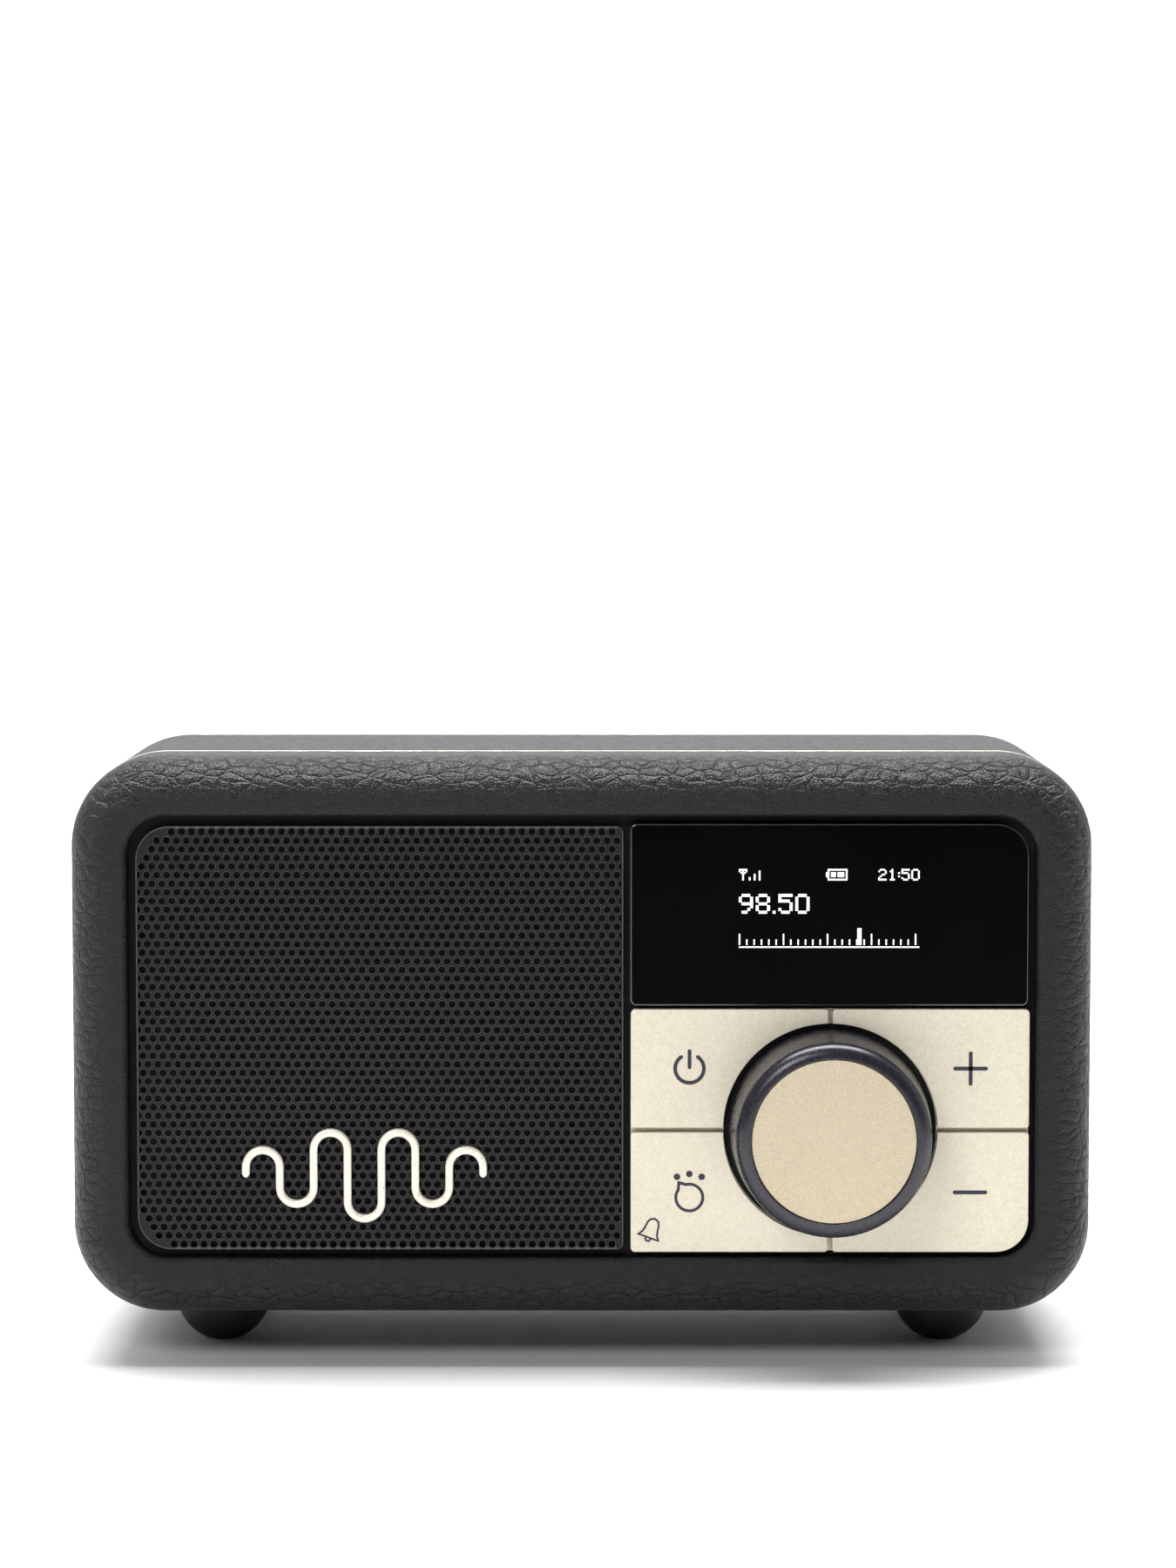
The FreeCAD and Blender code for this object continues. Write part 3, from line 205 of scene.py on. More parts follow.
def glow_finish():
    """The lit dots of the display, a little uneven from dot to dot."""
    made, shader = new_material("display_dots", Base_Color=(0.8, 0.8, 0.82, 1), Roughness=0.6,
                                Emission_Strength=0.75)
    cells = add_node(made, "TexVoronoi", {"Vector": object_coordinates(made), "Scale": 2300.0})
    tint = spread(made, cells.outputs["Distance"], 0, 1, 0.0, 0.8)
    drive(made, shader, "Emission Color", blend_colours(made, tint, (1, 1, 1), (0.86, 0.9, 0.95)))
    return made


knob_low, knob_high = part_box("knob_body")
knob_centre = (knob_low + knob_high) / 2

FINISHES = {
    "leather": leather_finish(),
    "shell": grained("shell", (0.003, 0.003, 0.003), (0.008, 0.008, 0.008), (0.5, 0.7), 2600, 0.00003,
                     Specular_IOR_Level=0.2),
    "piping": grained("piping", (0.68, 0.63, 0.52), (0.84, 0.80, 0.70), (0.35, 0.5), 1500, 0.00002),
    "grille": grained("grille", (0.006, 0.006, 0.0064), (0.014, 0.014, 0.0144), (0.36, 0.5), 4200,
                      0.00001, Metallic=0.3, Specular_IOR_Level=0.32),
    # Painted highlight: a lighter copy of the grille's black paint, for the hole chamfers and the rolled
    # edge that catch the light.
    "rim_painted_highlight": grained("rim_painted_highlight", (0.065, 0.065, 0.066), (0.11, 0.11, 0.112), (0.3, 0.45), 4200,
                        0.00001),
    # Painted highlight: a lighter copy of the black lens, for its bevelled edge; its strong gloss is
    # real.
    "lens_edge_painted_highlight": grained("lens_edge_painted_highlight", (0.03, 0.03, 0.03), (0.05, 0.05, 0.05), (0.12, 0.22), 1500,
                         0.000004, Specular_IOR_Level=1.0),
    # Besides the cloth itself, this near-black finish is painted shade on the grille's hole walls and in
    # the ring round the knob.
    "cloth": grained("cloth", (0.002, 0.002, 0.002), (0.006, 0.006, 0.006), (0.85, 0.95), 3000, 0.00005),
    "emblem": grained("emblem", (0.83, 0.77, 0.65), (0.93, 0.89, 0.79), (0.25, 0.4), 2600, 0.000006,
                      Metallic=0.25),
    "lens": grained("lens", (0.0008, 0.0008, 0.001), (0.0016, 0.0016, 0.002), (0.05, 0.11), 90, 0.000001,
                    Specular_IOR_Level=0.03),
    "tile": grained("tile", (0.71, 0.645, 0.495), (0.88, 0.82, 0.685), (0.34, 0.5), 3600, 0.000014,
                    Metallic=0.2),
    "knob": grained("knob", (0.008, 0.0072, 0.013), (0.018, 0.0165, 0.028), (0.22, 0.34), 3800, 0.00002,
                    Metallic=0.1, Specular_IOR_Level=0.65),
    "knob_disc": brushed_disc_finish(knob_centre),
    "rubber": grained("rubber", (0.007, 0.007, 0.007), (0.015, 0.015, 0.015), (0.5, 0.7), 2400, 0.00003),
    "board": grained("board", (0.01, 0.09, 0.035), (0.03, 0.2, 0.09), (0.25, 0.45), 900, 0.00002),
    "steel": grained("steel", (0.45, 0.45, 0.46), (0.66, 0.66, 0.67), (0.25, 0.42), 1800, 0.00001,
                     Metallic=1.0),
    "black_steel": grained("black_steel", (0.02, 0.02, 0.022), (0.05, 0.05, 0.053), (0.3, 0.45), 1800,
                           0.00001, Metallic=0.8),
    "switch": grained("switch", (0.01, 0.01, 0.01), (0.03, 0.03, 0.03), (0.4, 0.6), 1500, 0.00002),
    "basket": grained("basket", (0.01, 0.01, 0.01), (0.03, 0.03, 0.03), (0.4, 0.6), 1200, 0.00003),
    "cone": grained("cone", (0.02, 0.018, 0.016), (0.05, 0.046, 0.04), (0.7, 0.9), 1400, 0.00006),
    "ferrite": grained("ferrite", (0.03, 0.03, 0.03), (0.07, 0.07, 0.07), (0.5, 0.7), 900, 0.00004),
    "copper": grained("copper", (0.4, 0.16, 0.06), (0.62, 0.3, 0.13), (0.25, 0.4), 2600, 0.00002,
                      Metallic=0.9),
    "cell": grained("cell", (0.03, 0.09, 0.26), (0.06, 0.15, 0.38), (0.2, 0.35), 700, 0.00001),
    "tin": grained("tin", (0.5, 0.5, 0.5), (0.7, 0.7, 0.7), (0.3, 0.45), 1700, 0.00001, Metallic=1.0),
    "lead": grained("lead", (0.3, 0.02, 0.02), (0.45, 0.05, 0.04), (0.4, 0.55), 1400, 0.00002),
    "aerial": grained("aerial", (0.42, 0.42, 0.43), (0.52, 0.52, 0.53), (0.12, 0.22), 1300, 0.000002,
                      Metallic=1.0),
    "dots": glow_finish(),
    "ink": grained("ink", (0.012, 0.014, 0.03), (0.03, 0.034, 0.06), (0.4, 0.55), 4000, 0.000004),
}


def paint_frame():
    """Every CAD node gets the finish of its slot."""
    slots = {entry["node"]: entry["material_slot"] for entry in frame["record"]["subparts"]}
    for name, item in frame["nodes"].items():
        finish = FINISHES[slots[name]]
        if not item.material_slots:
            item.data.materials.append(finish)
        for holder in item.material_slots:
            holder.material = finish


# ------------------------------------------------------------------ meshes

def piece(name, points, faces, finish, body="root", replaces=(), smooth_angle=40, others=()):
    """A finished mesh that rides on a body and may stand for CAD nodes.

    others holds (another finish, the first of the faces that have it, the last of them plus one)."""
    mesh = bpy.data.meshes.new(name)
    mesh.from_pydata([tuple(point) for point in points], [], faces)
    mesh.validate()
    if signed_volume(mesh) < 0:
        mesh.flip_normals()
    mesh.shade_smooth()
    mesh.set_sharp_from_angle(angle=math.radians(smooth_angle))
    mesh.materials.append(FINISHES[finish])
    for index, (other, first, last) in enumerate(others):
        mesh.materials.append(FINISHES[other])
        for polygon in mesh.polygons[first:last]:
            polygon.material_index = index + 1
    item = bpy.data.objects.new(name, mesh)
    bpy.context.scene.collection.objects.link(item)
    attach(item, body)
    if replaces:
        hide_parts(*replaces)
    return item


def signed_volume(mesh):
    """Positive when the faces of a closed mesh look outwards."""
    mesh.calc_loop_triangles()
    corners = np.empty(len(mesh.vertices) * 3)
    mesh.vertices.foreach_get("co", corners)
    corners = corners.reshape(-1, 3)
    corners = corners - corners.mean(axis=0)
    triangles = np.empty(len(mesh.loop_triangles) * 3, dtype=np.int32)
    mesh.loop_triangles.foreach_get("vertices", triangles)
    a, b, c = (corners[triangles.reshape(-1, 3)[:, index]] for index in range(3))
    return float(np.einsum("ij,ij->i", a, np.cross(b, c)).sum())


def grid_faces(rows, columns, wrap_rows=True, wrap_columns=True):
    """Quads between neighbouring points of a grid, which may close on itself either way."""
    row = np.arange(rows if wrap_rows else rows - 1)
    column = np.arange(columns if wrap_columns else columns - 1)
    r, c = (part.ravel() for part in np.meshgrid(row, column, indexing="ij"))
    next_r, next_c = (r + 1) % rows, (c + 1) % columns
    quads = np.stack([r * columns + c, r * columns + next_c,
                      next_r * columns + next_c, next_r * columns + c], axis=1)
    return quads.tolist()


def end_faces(rows, columns):
    """The two faces that close the first and the last row of such a grid."""
    return [list(range(columns)), [rows * columns - 1 - index for index in range(columns)]]


def arc(centre, radius, start, end, steps):
    """Points on a circle between two angles, both ends included."""
    return [(centre[0] + radius * math.cos(start + (end - start) * step / steps),
             centre[1] + radius * math.sin(start + (end - start) * step / steps))
            for step in range(steps + 1)]


def resampled(points, spacing):
    """The same open line with points no farther apart than the spacing."""
    result = []
    for start, end in zip(points, points[1:]):
        gap = math.dist(start[:2], end[:2])
        steps = max(1, math.ceil(gap / spacing))
        for step in range(steps):
            share = step / steps
            result.append(tuple(a + (b - a) * share for a, b in zip(start, end)))
    return result + [tuple(points[-1])]


def rounded_outline(span, radii, counts):
    """A rectangle with round corners as an anticlockwise loop of (x, z).

    span is (left, right, low, high), radii go from the lower right corner anticlockwise,
    and counts are the points on each level side, each upright side and each corner."""
    left, right, low, high = span
    level, upright, corner = counts
    centres = [(right - radii[0], low + radii[0]), (right - radii[1], high - radii[1]),
               (left + radii[2], high - radii[2]), (left + radii[3], low + radii[3])]
    loop = []
    for index in range(4):
        begin = (index - 1) * QUARTER
        before = centres[index - 1]
        start = arc(before, radii[index - 1], begin, begin, 1)[0]
        end = arc(centres[index], radii[index], begin, begin, 1)[0]
        count = level if index % 2 == 0 else upright
        loop += [(start[0] + (end[0] - start[0]) * step / count,
                  start[1] + (end[1] - start[1]) * step / count) for step in range(count)]
        loop += arc(centres[index], radii[index], begin, begin + QUARTER, corner)[:-1]
    return np.array(loop)


def ring_grid(outer, inner, share_depths):
    """Rows of points between two loops: share 0 is on the outer loop, 1 on the inner one."""
    rows = []
    for share, y in share_depths:
        loop = outer + (inner - outer) * share
        rows.append(np.column_stack([loop[:, 0], np.full(len(loop), y), loop[:, 1]]))
    return np.array(rows)


def inset_loop(loop, distance):
    """A closed loop moved inwards, with mitred corners."""
    ahead = np.roll(loop, -1, axis=0) - loop
    ahead /= np.linalg.norm(ahead, axis=1)[:, None]
    square = np.column_stack([-ahead[:, 1], ahead[:, 0]])
    inward = square + np.roll(square, 1, axis=0)
    inward /= np.linalg.norm(inward, axis=1)[:, None]
    lean = np.clip(np.einsum("ij,ij->i", inward, square), 0.4, 1)
    return loop + inward * (distance / lean)[:, None]


def bevelled_plate(name, loop, front, back, bevel, finish, edge_finish=None, **options):
    """A plate parallel to the front whose front edge is rounded off."""
    levels = [(0, back), (0, front + bevel)]
    levels += [(bevel * (1 - math.cos(angle)), front + bevel * (1 - math.sin(angle)))
               for angle in (QUARTER / 3, 2 * QUARTER / 3, QUARTER)]
    rows = []
    for distance, y in levels:
        inset = inset_loop(loop, distance) if distance else loop
        rows.append(np.column_stack([inset[:, 0], np.full(len(loop), y), inset[:, 1]]))
    count = len(loop)
    faces = grid_faces(len(rows), count, wrap_rows=False)
    if edge_finish:
        options["others"] = [(edge_finish, count, len(faces))]
    faces += end_faces(len(rows), count)
    keep_flats(piece(name, np.concatenate(rows), faces, finish, **options))


def keep_flats(item):
    """Lets large flat faces set the shading of the small ones beside them."""
    weighting = item.modifiers.new("flats", "WEIGHTED_NORMAL")
    weighting.weight = 100
    weighting.keep_sharp = True


def turned_rows(profile, centre, axis, steps):
    """A circle of points for each (radius, place along the axis) of a profile, in metres."""
    first, second = (index for index in range(3) if index != axis)
    angles = np.arange(steps) * FULL_TURN / steps
    rows = np.zeros((len(profile), steps, 3))
    for row, (radius, along) in zip(rows, profile):
        row[:, first] = centre[first] + radius * np.cos(angles)
        row[:, second] = centre[second] + radius * np.sin(angles)
        row[:, axis] = along
    return rows.reshape(-1, 3)


def lathe(name, profile, centre, axis, finish, steps, **options):
    """A hollow piece turned from a closed profile."""
    points = turned_rows(profile, centre, axis, steps)
    keep_flats(piece(name, points, grid_faces(len(profile), steps), finish, **options))


def solid_lathe(name, profile, centre, axis, finish, steps=64, **options):
    """A solid piece turned from an open profile, flat at both ends."""
    faces = grid_faces(len(profile), steps, wrap_rows=False) + end_faces(len(profile), steps)
    item = piece(name, turned_rows(profile, centre, axis, steps), faces, finish, **options)
    keep_flats(item)
    return item


def sweep(name, path, section, finish, closed=False, round_ends=0.0, **options):
    """A section of (across, y) carried along a flat path of (x, z); round_ends is half its width."""
    path = np.array(path)
    ahead = np.roll(path, -1, axis=0) - path
    behind = path - np.roll(path, 1, axis=0)
    if not closed:
        ahead[-1] = behind[-1]
        behind[0] = ahead[0]
    ahead /= np.linalg.norm(ahead, axis=1)[:, None]
    behind /= np.linalg.norm(behind, axis=1)[:, None]
    way = ahead + behind
    way /= np.linalg.norm(way, axis=1)[:, None]
    side = np.column_stack([-way[:, 1], way[:, 0]])
    lean = np.clip(np.einsum("ij,ij->i", way, ahead), 0.5, 1)
    stations = [(path[index], side[index] / lean[index]) for index in range(len(path))]
    if round_ends:
        angles = [QUARTER * step / 4 for step in (1, 2, 3)] + [QUARTER * 0.93]
        start = [(path[0] - way[0] * round_ends * math.sin(angle), side[0] * math.cos(angle))
                 for angle in reversed(angles)]
        end = [(path[-1] + way[-1] * round_ends * math.sin(angle), side[-1] * math.cos(angle))
               for angle in angles]
        stations = start + stations + end
    rows = [[(place[0] + turn[0] * across, y, place[1] + turn[1] * across) for across, y in section]
            for place, turn in stations]
    width = len(section)
    faces = grid_faces(len(rows), width, wrap_rows=closed)
    if not closed:
        faces += end_faces(len(rows), width)
    piece(name, np.array(rows).reshape(-1, 3), faces, finish, **options)


# ------------------------------------------------------------------ leather covers

CASE_CORNER = 14 * MM
OPENING_CORNER = 6 * MM
PLATE_GAP = 0.3 * MM
LEATHER = 1.0 * MM
COVER_RIM = 9.0 * MM
COVER_LIP = 0.9 * MM
COVER_COUNTS = (330, 150, 56)
PIPING_COUNTS = (90, 42, 30)
PEBBLE = (4.2 * MM, 2.5 * MM, 2.5 * MM)
PEBBLE_DEPTH = 0.11 * MM
BEAD = (2.4 * MM, 1.7 * MM, 1.7 * MM)
BEAD_DEPTH = 0.03 * MM


def case_span():
    low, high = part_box("front_leather")
    return low.x, high.x, low.z, high.z


def opening_span():
    low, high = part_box("rear_plate")
    return low.x - PLATE_GAP, high.x + PLATE_GAP, low.z - PLATE_GAP, high.z + PLATE_GAP


def crease_distance(points, cell, seed):
    """How far each point is from the nearest border between the cells of a jittered lattice."""
    scaled = points / np.array(cell)
    base = np.floor(scaled).astype(int)
    size = 64
    jitter = np.random.default_rng(seed).random((size, size, size, 3))
    nearest = np.full(len(points), 9.0)
    second = np.full(len(points), 9.0)
    for offset in itertools.product((-1, 0, 1), repeat=3):
        corner = base + offset
        wrapped = corner % size
        feature = corner + jitter[wrapped[:, 0], wrapped[:, 1], wrapped[:, 2]]
        gap = np.linalg.norm(scaled - feature, axis=1)
        second = np.minimum(second, np.maximum(nearest, gap))
        nearest = np.minimum(nearest, gap)
    return second - nearest


def leather_relief(points):
    """How far the leather sinks at each point: creases between pebbles, with finer ones in them.

    Waves bend the creases, and slower ones make some patches of leather smoother than others."""
    waves = np.column_stack([np.sin(points[:, 1] * 910 + points[:, 2] * 530),
                             np.sin(points[:, 2] * 770 + points[:, 0] * 390),
                             np.sin(points[:, 0] * 590 + points[:, 1] * 830)])
    bent = points + waves * 0.5 * MM
    pebble = crease_distance(bent, PEBBLE, 11)
    bead = crease_distance(bent, BEAD, 12)
    patch = 0.6 + 0.4 * np.sin(points[:, 0] * 95 + 1.3) * np.sin(points[:, 2] * 120 + points[:, 1] * 80)
    return patch * (PEBBLE_DEPTH * np.exp(-pebble / 0.22) + BEAD_DEPTH * np.exp(-bead / 0.2))


def grid_normals(grid):
    """Directions square to the surface of a grid that closes on itself both ways."""
    along = np.roll(grid, -1, axis=1) - np.roll(grid, 1, axis=1)
    across = np.roll(grid, -1, axis=0) - np.roll(grid, 1, axis=0)
    normals = np.cross(along, across)
    return normals / np.maximum(np.linalg.norm(normals, axis=2), 1e-12)[:, :, None]


def seam_to_lip(face, seam, groove, edge, steps):
    """The outside of a cover: seam, side, rounded edge, flat and the lip of its opening.

    It is a line of (distance in from the outline, y, share of the full relief)."""
    inward = 1 if seam > face else -1
    line = [(groove, seam, 0), (0.15 * MM, seam - inward * 0.08 * MM, 0.1),
            (0, seam - inward * 0.5 * MM, 0.5)]
    for angle in np.linspace(0, QUARTER, steps + 1):
        rise = edge - edge * math.sin(angle)
        line.append((edge - edge * math.cos(angle), face + inward * rise, rounding_share(angle)))
    for angle in np.linspace(0, QUARTER, 5):
        sink = COVER_LIP - COVER_LIP * math.cos(angle)
        line.append((COVER_RIM - COVER_LIP + COVER_LIP * math.sin(angle), face + inward * sink, 0.12))
    return line


def leather_cover(name, node, face, seam, edge, steps, groove, tuck, bend, spacing):
    """A skin round the case, from its seam over its face to the opening and back behind.

    edge is the radius of the face's rounded edge, groove how far the seam lies in from the side,
    tuck the depth of the opening's wall, and bend where the inside turns behind the edge."""
    inward = 1 if seam > face else -1
    skin, wall = 1.05 * MM, COVER_RIM - LEATHER
    turns = ((wall, tuck), (wall, 1.3 * MM), (edge, skin), (bend, bend), (skin, edge))
    shown = seam_to_lip(face, seam, groove, edge, steps)
    shown = resampled(shown + [(COVER_RIM, face + inward * tuck, 0.1)], spacing)
    profile = shown + [(inset, face + inward * behind, 0) for inset, behind in turns] + [(skin, seam, 0)]
    outer = rounded_outline(case_span(), (CASE_CORNER,) * 4, COVER_COUNTS)
    inner = rounded_outline(opening_span(), (OPENING_CORNER,) * 4, COVER_COUNTS)
    width = inner[:, 0].min() - outer[:, 0].min()
    grid = ring_grid(outer, inner, [(inset / width, y) for inset, y, share in profile])
    normals = grid_normals(grid)
    share = np.array([part for inset, y, part in profile])[:, None]
    relief = leather_relief(grid.reshape(-1, 3)).reshape(grid.shape[:2]) * share
    middle = np.array([0, grid[:, :, 1].mean(), (outer[:, 1].max() + outer[:, 1].min()) / 2])
    outward = np.sign(np.einsum("ijk,ijk->", normals[:len(shown) // 2], grid[:len(shown) // 2] - middle))
    grid = grid - normals * outward * relief[:, :, None]
    item = piece(name, grid.reshape(-1, 3), grid_faces(*grid.shape[:2]), "leather", replaces=(node,),
                 smooth_angle=70)
    # The relief attribute also sets how strong the leather finish's painted crease shade and pebble-top
    # highlight are.
    strength = item.data.attributes.new("relief", "FLOAT", "POINT")
    strength.data.foreach_set("value", np.repeat(share.ravel(), grid.shape[1]).astype(np.float32))


def rounding_share(angle):
    """The relief round an edge, from the side of the case at 0 to its flat at a quarter turn."""
    return 0.5 + 0.5 * math.sin(angle * 2) if angle < QUARTER / 2 else 0.1 + 0.9 * math.sin(angle * 2)


def front_cover():
    leather_cover("front_cover", "front_leather", front_y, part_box("front_leather")[1].y, edge=6.5 * MM,
                  steps=12, groove=0.55 * MM, tuck=3.0 * MM, bend=2.7 * MM, spacing=0.36 * MM)


def rear_cover():
    low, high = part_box("rear_leather")
    leather_cover("rear_cover", "rear_leather", high.y, low.y, edge=5.0 * MM,
                  steps=10, groove=0.6 * MM, tuck=2.4 * MM, bend=2.2 * MM, spacing=0.68 * MM)


def piping_cord():
    """A round bead in the seam with a flat tongue that is held between the covers."""
    low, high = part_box("piping")
    middle = (low.y + high.y) / 2
    radius = (high.y - low.y) / 2
    outer = rounded_outline(case_span(), (CASE_CORNER,) * 4, PIPING_COUNTS)
    inner = rounded_outline(opening_span(), (OPENING_CORNER,) * 4, PIPING_COUNTS)
    width = inner[:, 0].min() - outer[:, 0].min()
    bead = [((radius - radius * math.cos(angle)) / width, middle + radius * math.sin(angle))
            for angle in np.linspace(-QUARTER, QUARTER, 9)]
    bead += [(LEATHER / width, high.y), (LEATHER / width, low.y)]
    grid = ring_grid(outer, inner, bead)
    piece("piping_cord", grid.reshape(-1, 3), grid_faces(*grid.shape[:2]), "piping",
          replaces=("piping",), smooth_angle=60)


# ------------------------------------------------------------------ speaker front

HOLE_PITCH = 1.53 * MM
ROW_STEP = HOLE_PITCH * math.sqrt(3) / 2
HOLE_RADIUS = 0.575 * MM
HOLE_BEVEL = 0.055 * MM
HOLE_SIDES = 12
GRILLE_SHEET = 0.4 * MM
GRILLE_FOLD = 0.16 * MM
HOLE_MARGIN = GRILLE_FOLD + HOLE_RADIUS + HOLE_BEVEL
GRILLE_RADII = (1.0 * MM, 1.0 * MM, 5.2 * MM, 5.2 * MM)
GRILLE_COUNTS = (400, 50, 10)
SCALLOP = 0.26 * MM


def grille_span(inset):
    low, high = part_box("speaker_grille")
    return low.x + inset, high.x - inset, low.z + inset, high.z - inset


def hole_lattice():
    """The first hole's centre and the numbers of rows and columns; odd rows are half a pitch on."""
    left, right, low, high = grille_span(HOLE_MARGIN + 0.05 * MM)
    rows = int((high - low) / ROW_STEP) + 1
    columns = int((right - left) / HOLE_PITCH + 0.5)
    first_x = (left + right - (columns - 0.5) * HOLE_PITCH) / 2
    first_z = (low + high - (rows - 1) * ROW_STEP) / 2
    return first_x, first_z, rows, columns


def hole_centres():
    """The holes on the flat of the grille, with those that its upright edges cut through."""
    first_x, first_z, rows, columns = hole_lattice()
    left, right, low, high = grille_span(0)
    corner = GRILLE_RADII[2]
    centres = []
    for row, column in itertools.product(range(rows), range(-1, columns + 1)):
        x = first_x + (column + (row % 2) / 2) * HOLE_PITCH
        z = first_z + row * ROW_STEP
        whole = left + HOLE_MARGIN < x < right - HOLE_MARGIN
        beside_corner = min(z - low, high - z) < corner + HOLE_RADIUS
        if not whole and (beside_corner or not left < x < right):
            continue
        reach_x = left + corner - x
        reach_z = max(low + corner - z, z - high + corner)
        if min(reach_x, reach_z) < 0 or math.hypot(reach_x, reach_z) < corner - HOLE_MARGIN:
            centres.append((x, z))
    return np.array(centres)


def hole_rings(centres, radius, inset):
    """The corners of every hole, held inside the upright edges of the sheet."""
    left, right = grille_span(GRILLE_FOLD + inset)[:2]
    angles = (np.arange(HOLE_SIDES) + 0.5) * FULL_TURN / HOLE_SIDES
    circle = np.column_stack([np.cos(angles), np.sin(angles)])
    corners = (centres[:, None, :] + circle * radius).reshape(-1, 2)
    corners[:, 0] = np.clip(corners[:, 0], left, right)
    return corners


def sheet_edge():
    """The line where the flat ends, scalloped above and below by the holes that its fold cuts."""
    first_x, _, rows, _ = hole_lattice()
    radii = tuple(radius - GRILLE_FOLD for radius in GRILLE_RADII)
    span = grille_span(GRILLE_FOLD)
    edge = rounded_outline(span, radii, GRILLE_COUNTS)
    for level, parity, inward in ((span[2], 1, 1), (span[3], rows % 2, -1)):
        on_level = np.abs(edge[:, 1] - level) < 0.001 * MM
        phase = (edge[on_level, 0] - first_x) / HOLE_PITCH - parity / 2
        edge[on_level, 1] += inward * SCALLOP * np.maximum(0, np.cos(FULL_TURN * phase))
    return edge


def flat_triangles(flat, borders, count):
    """The triangles between the edge of the flat, which is its first count points, and the holes."""
    found = delaunay_2d_cdt([tuple(point) for point in flat / MM], borders, [], 0, 1e-6)
    if len(found[0]) != len(flat):
        raise RuntimeError("a hole of the grille touches its edge")
    triangles = np.array(found[2])
    owner = (triangles - count) // HOLE_SIDES
    in_hole = (triangles >= count).all(axis=1) & (owner == owner[:, :1]).all(axis=1)
    outside = (triangles < count).all(axis=1)
    return triangles[~(in_hole | outside)]


def perforated_sheet():
    """The flat of the grille: one sheet with a chamfered rim round every hole; the hole walls are
    painted shade and the rims a painted highlight.
    """
    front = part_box("speaker_grille")[0].y
    back = front + GRILLE_SHEET
    centres = hole_centres()
    edge = sheet_edge()
    gap = 0.02 * MM
    wide = hole_rings(centres, HOLE_RADIUS + HOLE_BEVEL, gap)
    narrow = hole_rings(centres, HOLE_RADIUS, gap + HOLE_BEVEL)
    flat = np.concatenate([edge, wide])
    count = len(edge)
    size = len(flat)
    borders = [(index, (index + 1) % count) for index in range(count)]
    for start in range(count, size, HOLE_SIDES):
        borders += [(start + side, start + (side + 1) % HOLE_SIDES) for side in range(HOLE_SIDES)]
    triangles = flat_triangles(flat, borders, count)

    levels = [(flat, front), (np.concatenate([edge, narrow]), back), (narrow, front + HOLE_BEVEL)]
    points = np.concatenate([np.column_stack([line[:, 0], np.full(len(line), y), line[:, 1]])
                             for line, y in levels])
    rim = size * 2 - count
    faces = triangles.tolist() + (triangles[:, ::-1] + size).tolist()
    faces += [(a + size, b + size, b, a) for a, b in borders[:count]]
    painted_shade_walls = len(faces)
    faces += [(a + rim, b + rim, b + size, a + size) for a, b in borders[count:]]
    painted_highlight_rims = len(faces)
    faces += [(a, b, b + rim, a + rim) for a, b in borders[count:]]
    # Painted shade: the hole walls get the near-black cloth finish; painted highlight: the chamfered
    # rims get the lighter rim finish.
    piece("grille_sheet", points, faces, "grille", replaces=("speaker_grille",), smooth_angle=30,
          others=[("cloth", painted_shade_walls, painted_highlight_rims), ("rim_painted_highlight", painted_highlight_rims, len(faces))])


def grille_fold():
    """The edge of the sheet, rolled back to the baffle; its rounded roll is a painted highlight in the
    lighter rim finish.
    """
    low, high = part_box("speaker_grille")
    outer = rounded_outline(grille_span(0), GRILLE_RADII, GRILLE_COUNTS)
    steps = 5
    profile = [(1 - math.sin(angle), low.y + GRILLE_FOLD * (1 - math.cos(angle)))
               for angle in np.linspace(0, QUARTER, steps + 1)]
    profile += [(0, high.y), (0.9, high.y), (1, low.y + GRILLE_SHEET)]
    grid = ring_grid(outer, sheet_edge(), profile)
    # Painted highlight: the rounded roll gets the lighter rim finish.
    piece("grille_fold", grid.reshape(-1, 3), grid_faces(*grid.shape[:2]), "grille", smooth_angle=50,
          others=[("rim_painted_highlight", 0, steps * grid.shape[1])])


def rounded_section(half_width, front, back, radius, steps=3):
    """A section whose two front edges are rounded, as (across, y)."""
    left = [(-half_width + radius * (1 - math.cos(angle)), front + radius * (1 - math.sin(angle)))
            for angle in np.linspace(0, QUARTER, steps + 1)]
    right = [(-across, y) for across, y in reversed(left)]
    return [(-half_width, back)] + left + right + [(half_width, back)]


def emblem_ribbon():
    """A wavy ribbon, tallest in the middle."""
    low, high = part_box("emblem")
    stroke = 1.2 * MM
    shares = (0.2, 0.5, 0.8, 1.0, 0.8, 0.5, 0.2)
    radius = (high.x - low.x - stroke) / (len(shares) * 2)
    tall = (high.z - low.z - stroke - 2 * radius) / 2
    middle = (low.z + high.z) / 2
    x = low.x + stroke / 2
    tail = middle - 0.1 * MM
    path = [(x, tail)]
    for index, share in enumerate(shares):
        up = 1 if index % 2 == 0 else -1
        path += arc((x + radius, middle + up * share * tall), radius, up * math.pi, 0, 16)
        x += 2 * radius
    path.append((x, tail))
    section = rounded_section(stroke / 2, low.y, high.y, 0.3 * MM)
    sweep("emblem_ribbon", resampled(path, 0.8 * MM), section, "emblem", round_ends=stroke / 2,
          replaces=("emblem",), smooth_angle=50)


# ------------------------------------------------------------------ display

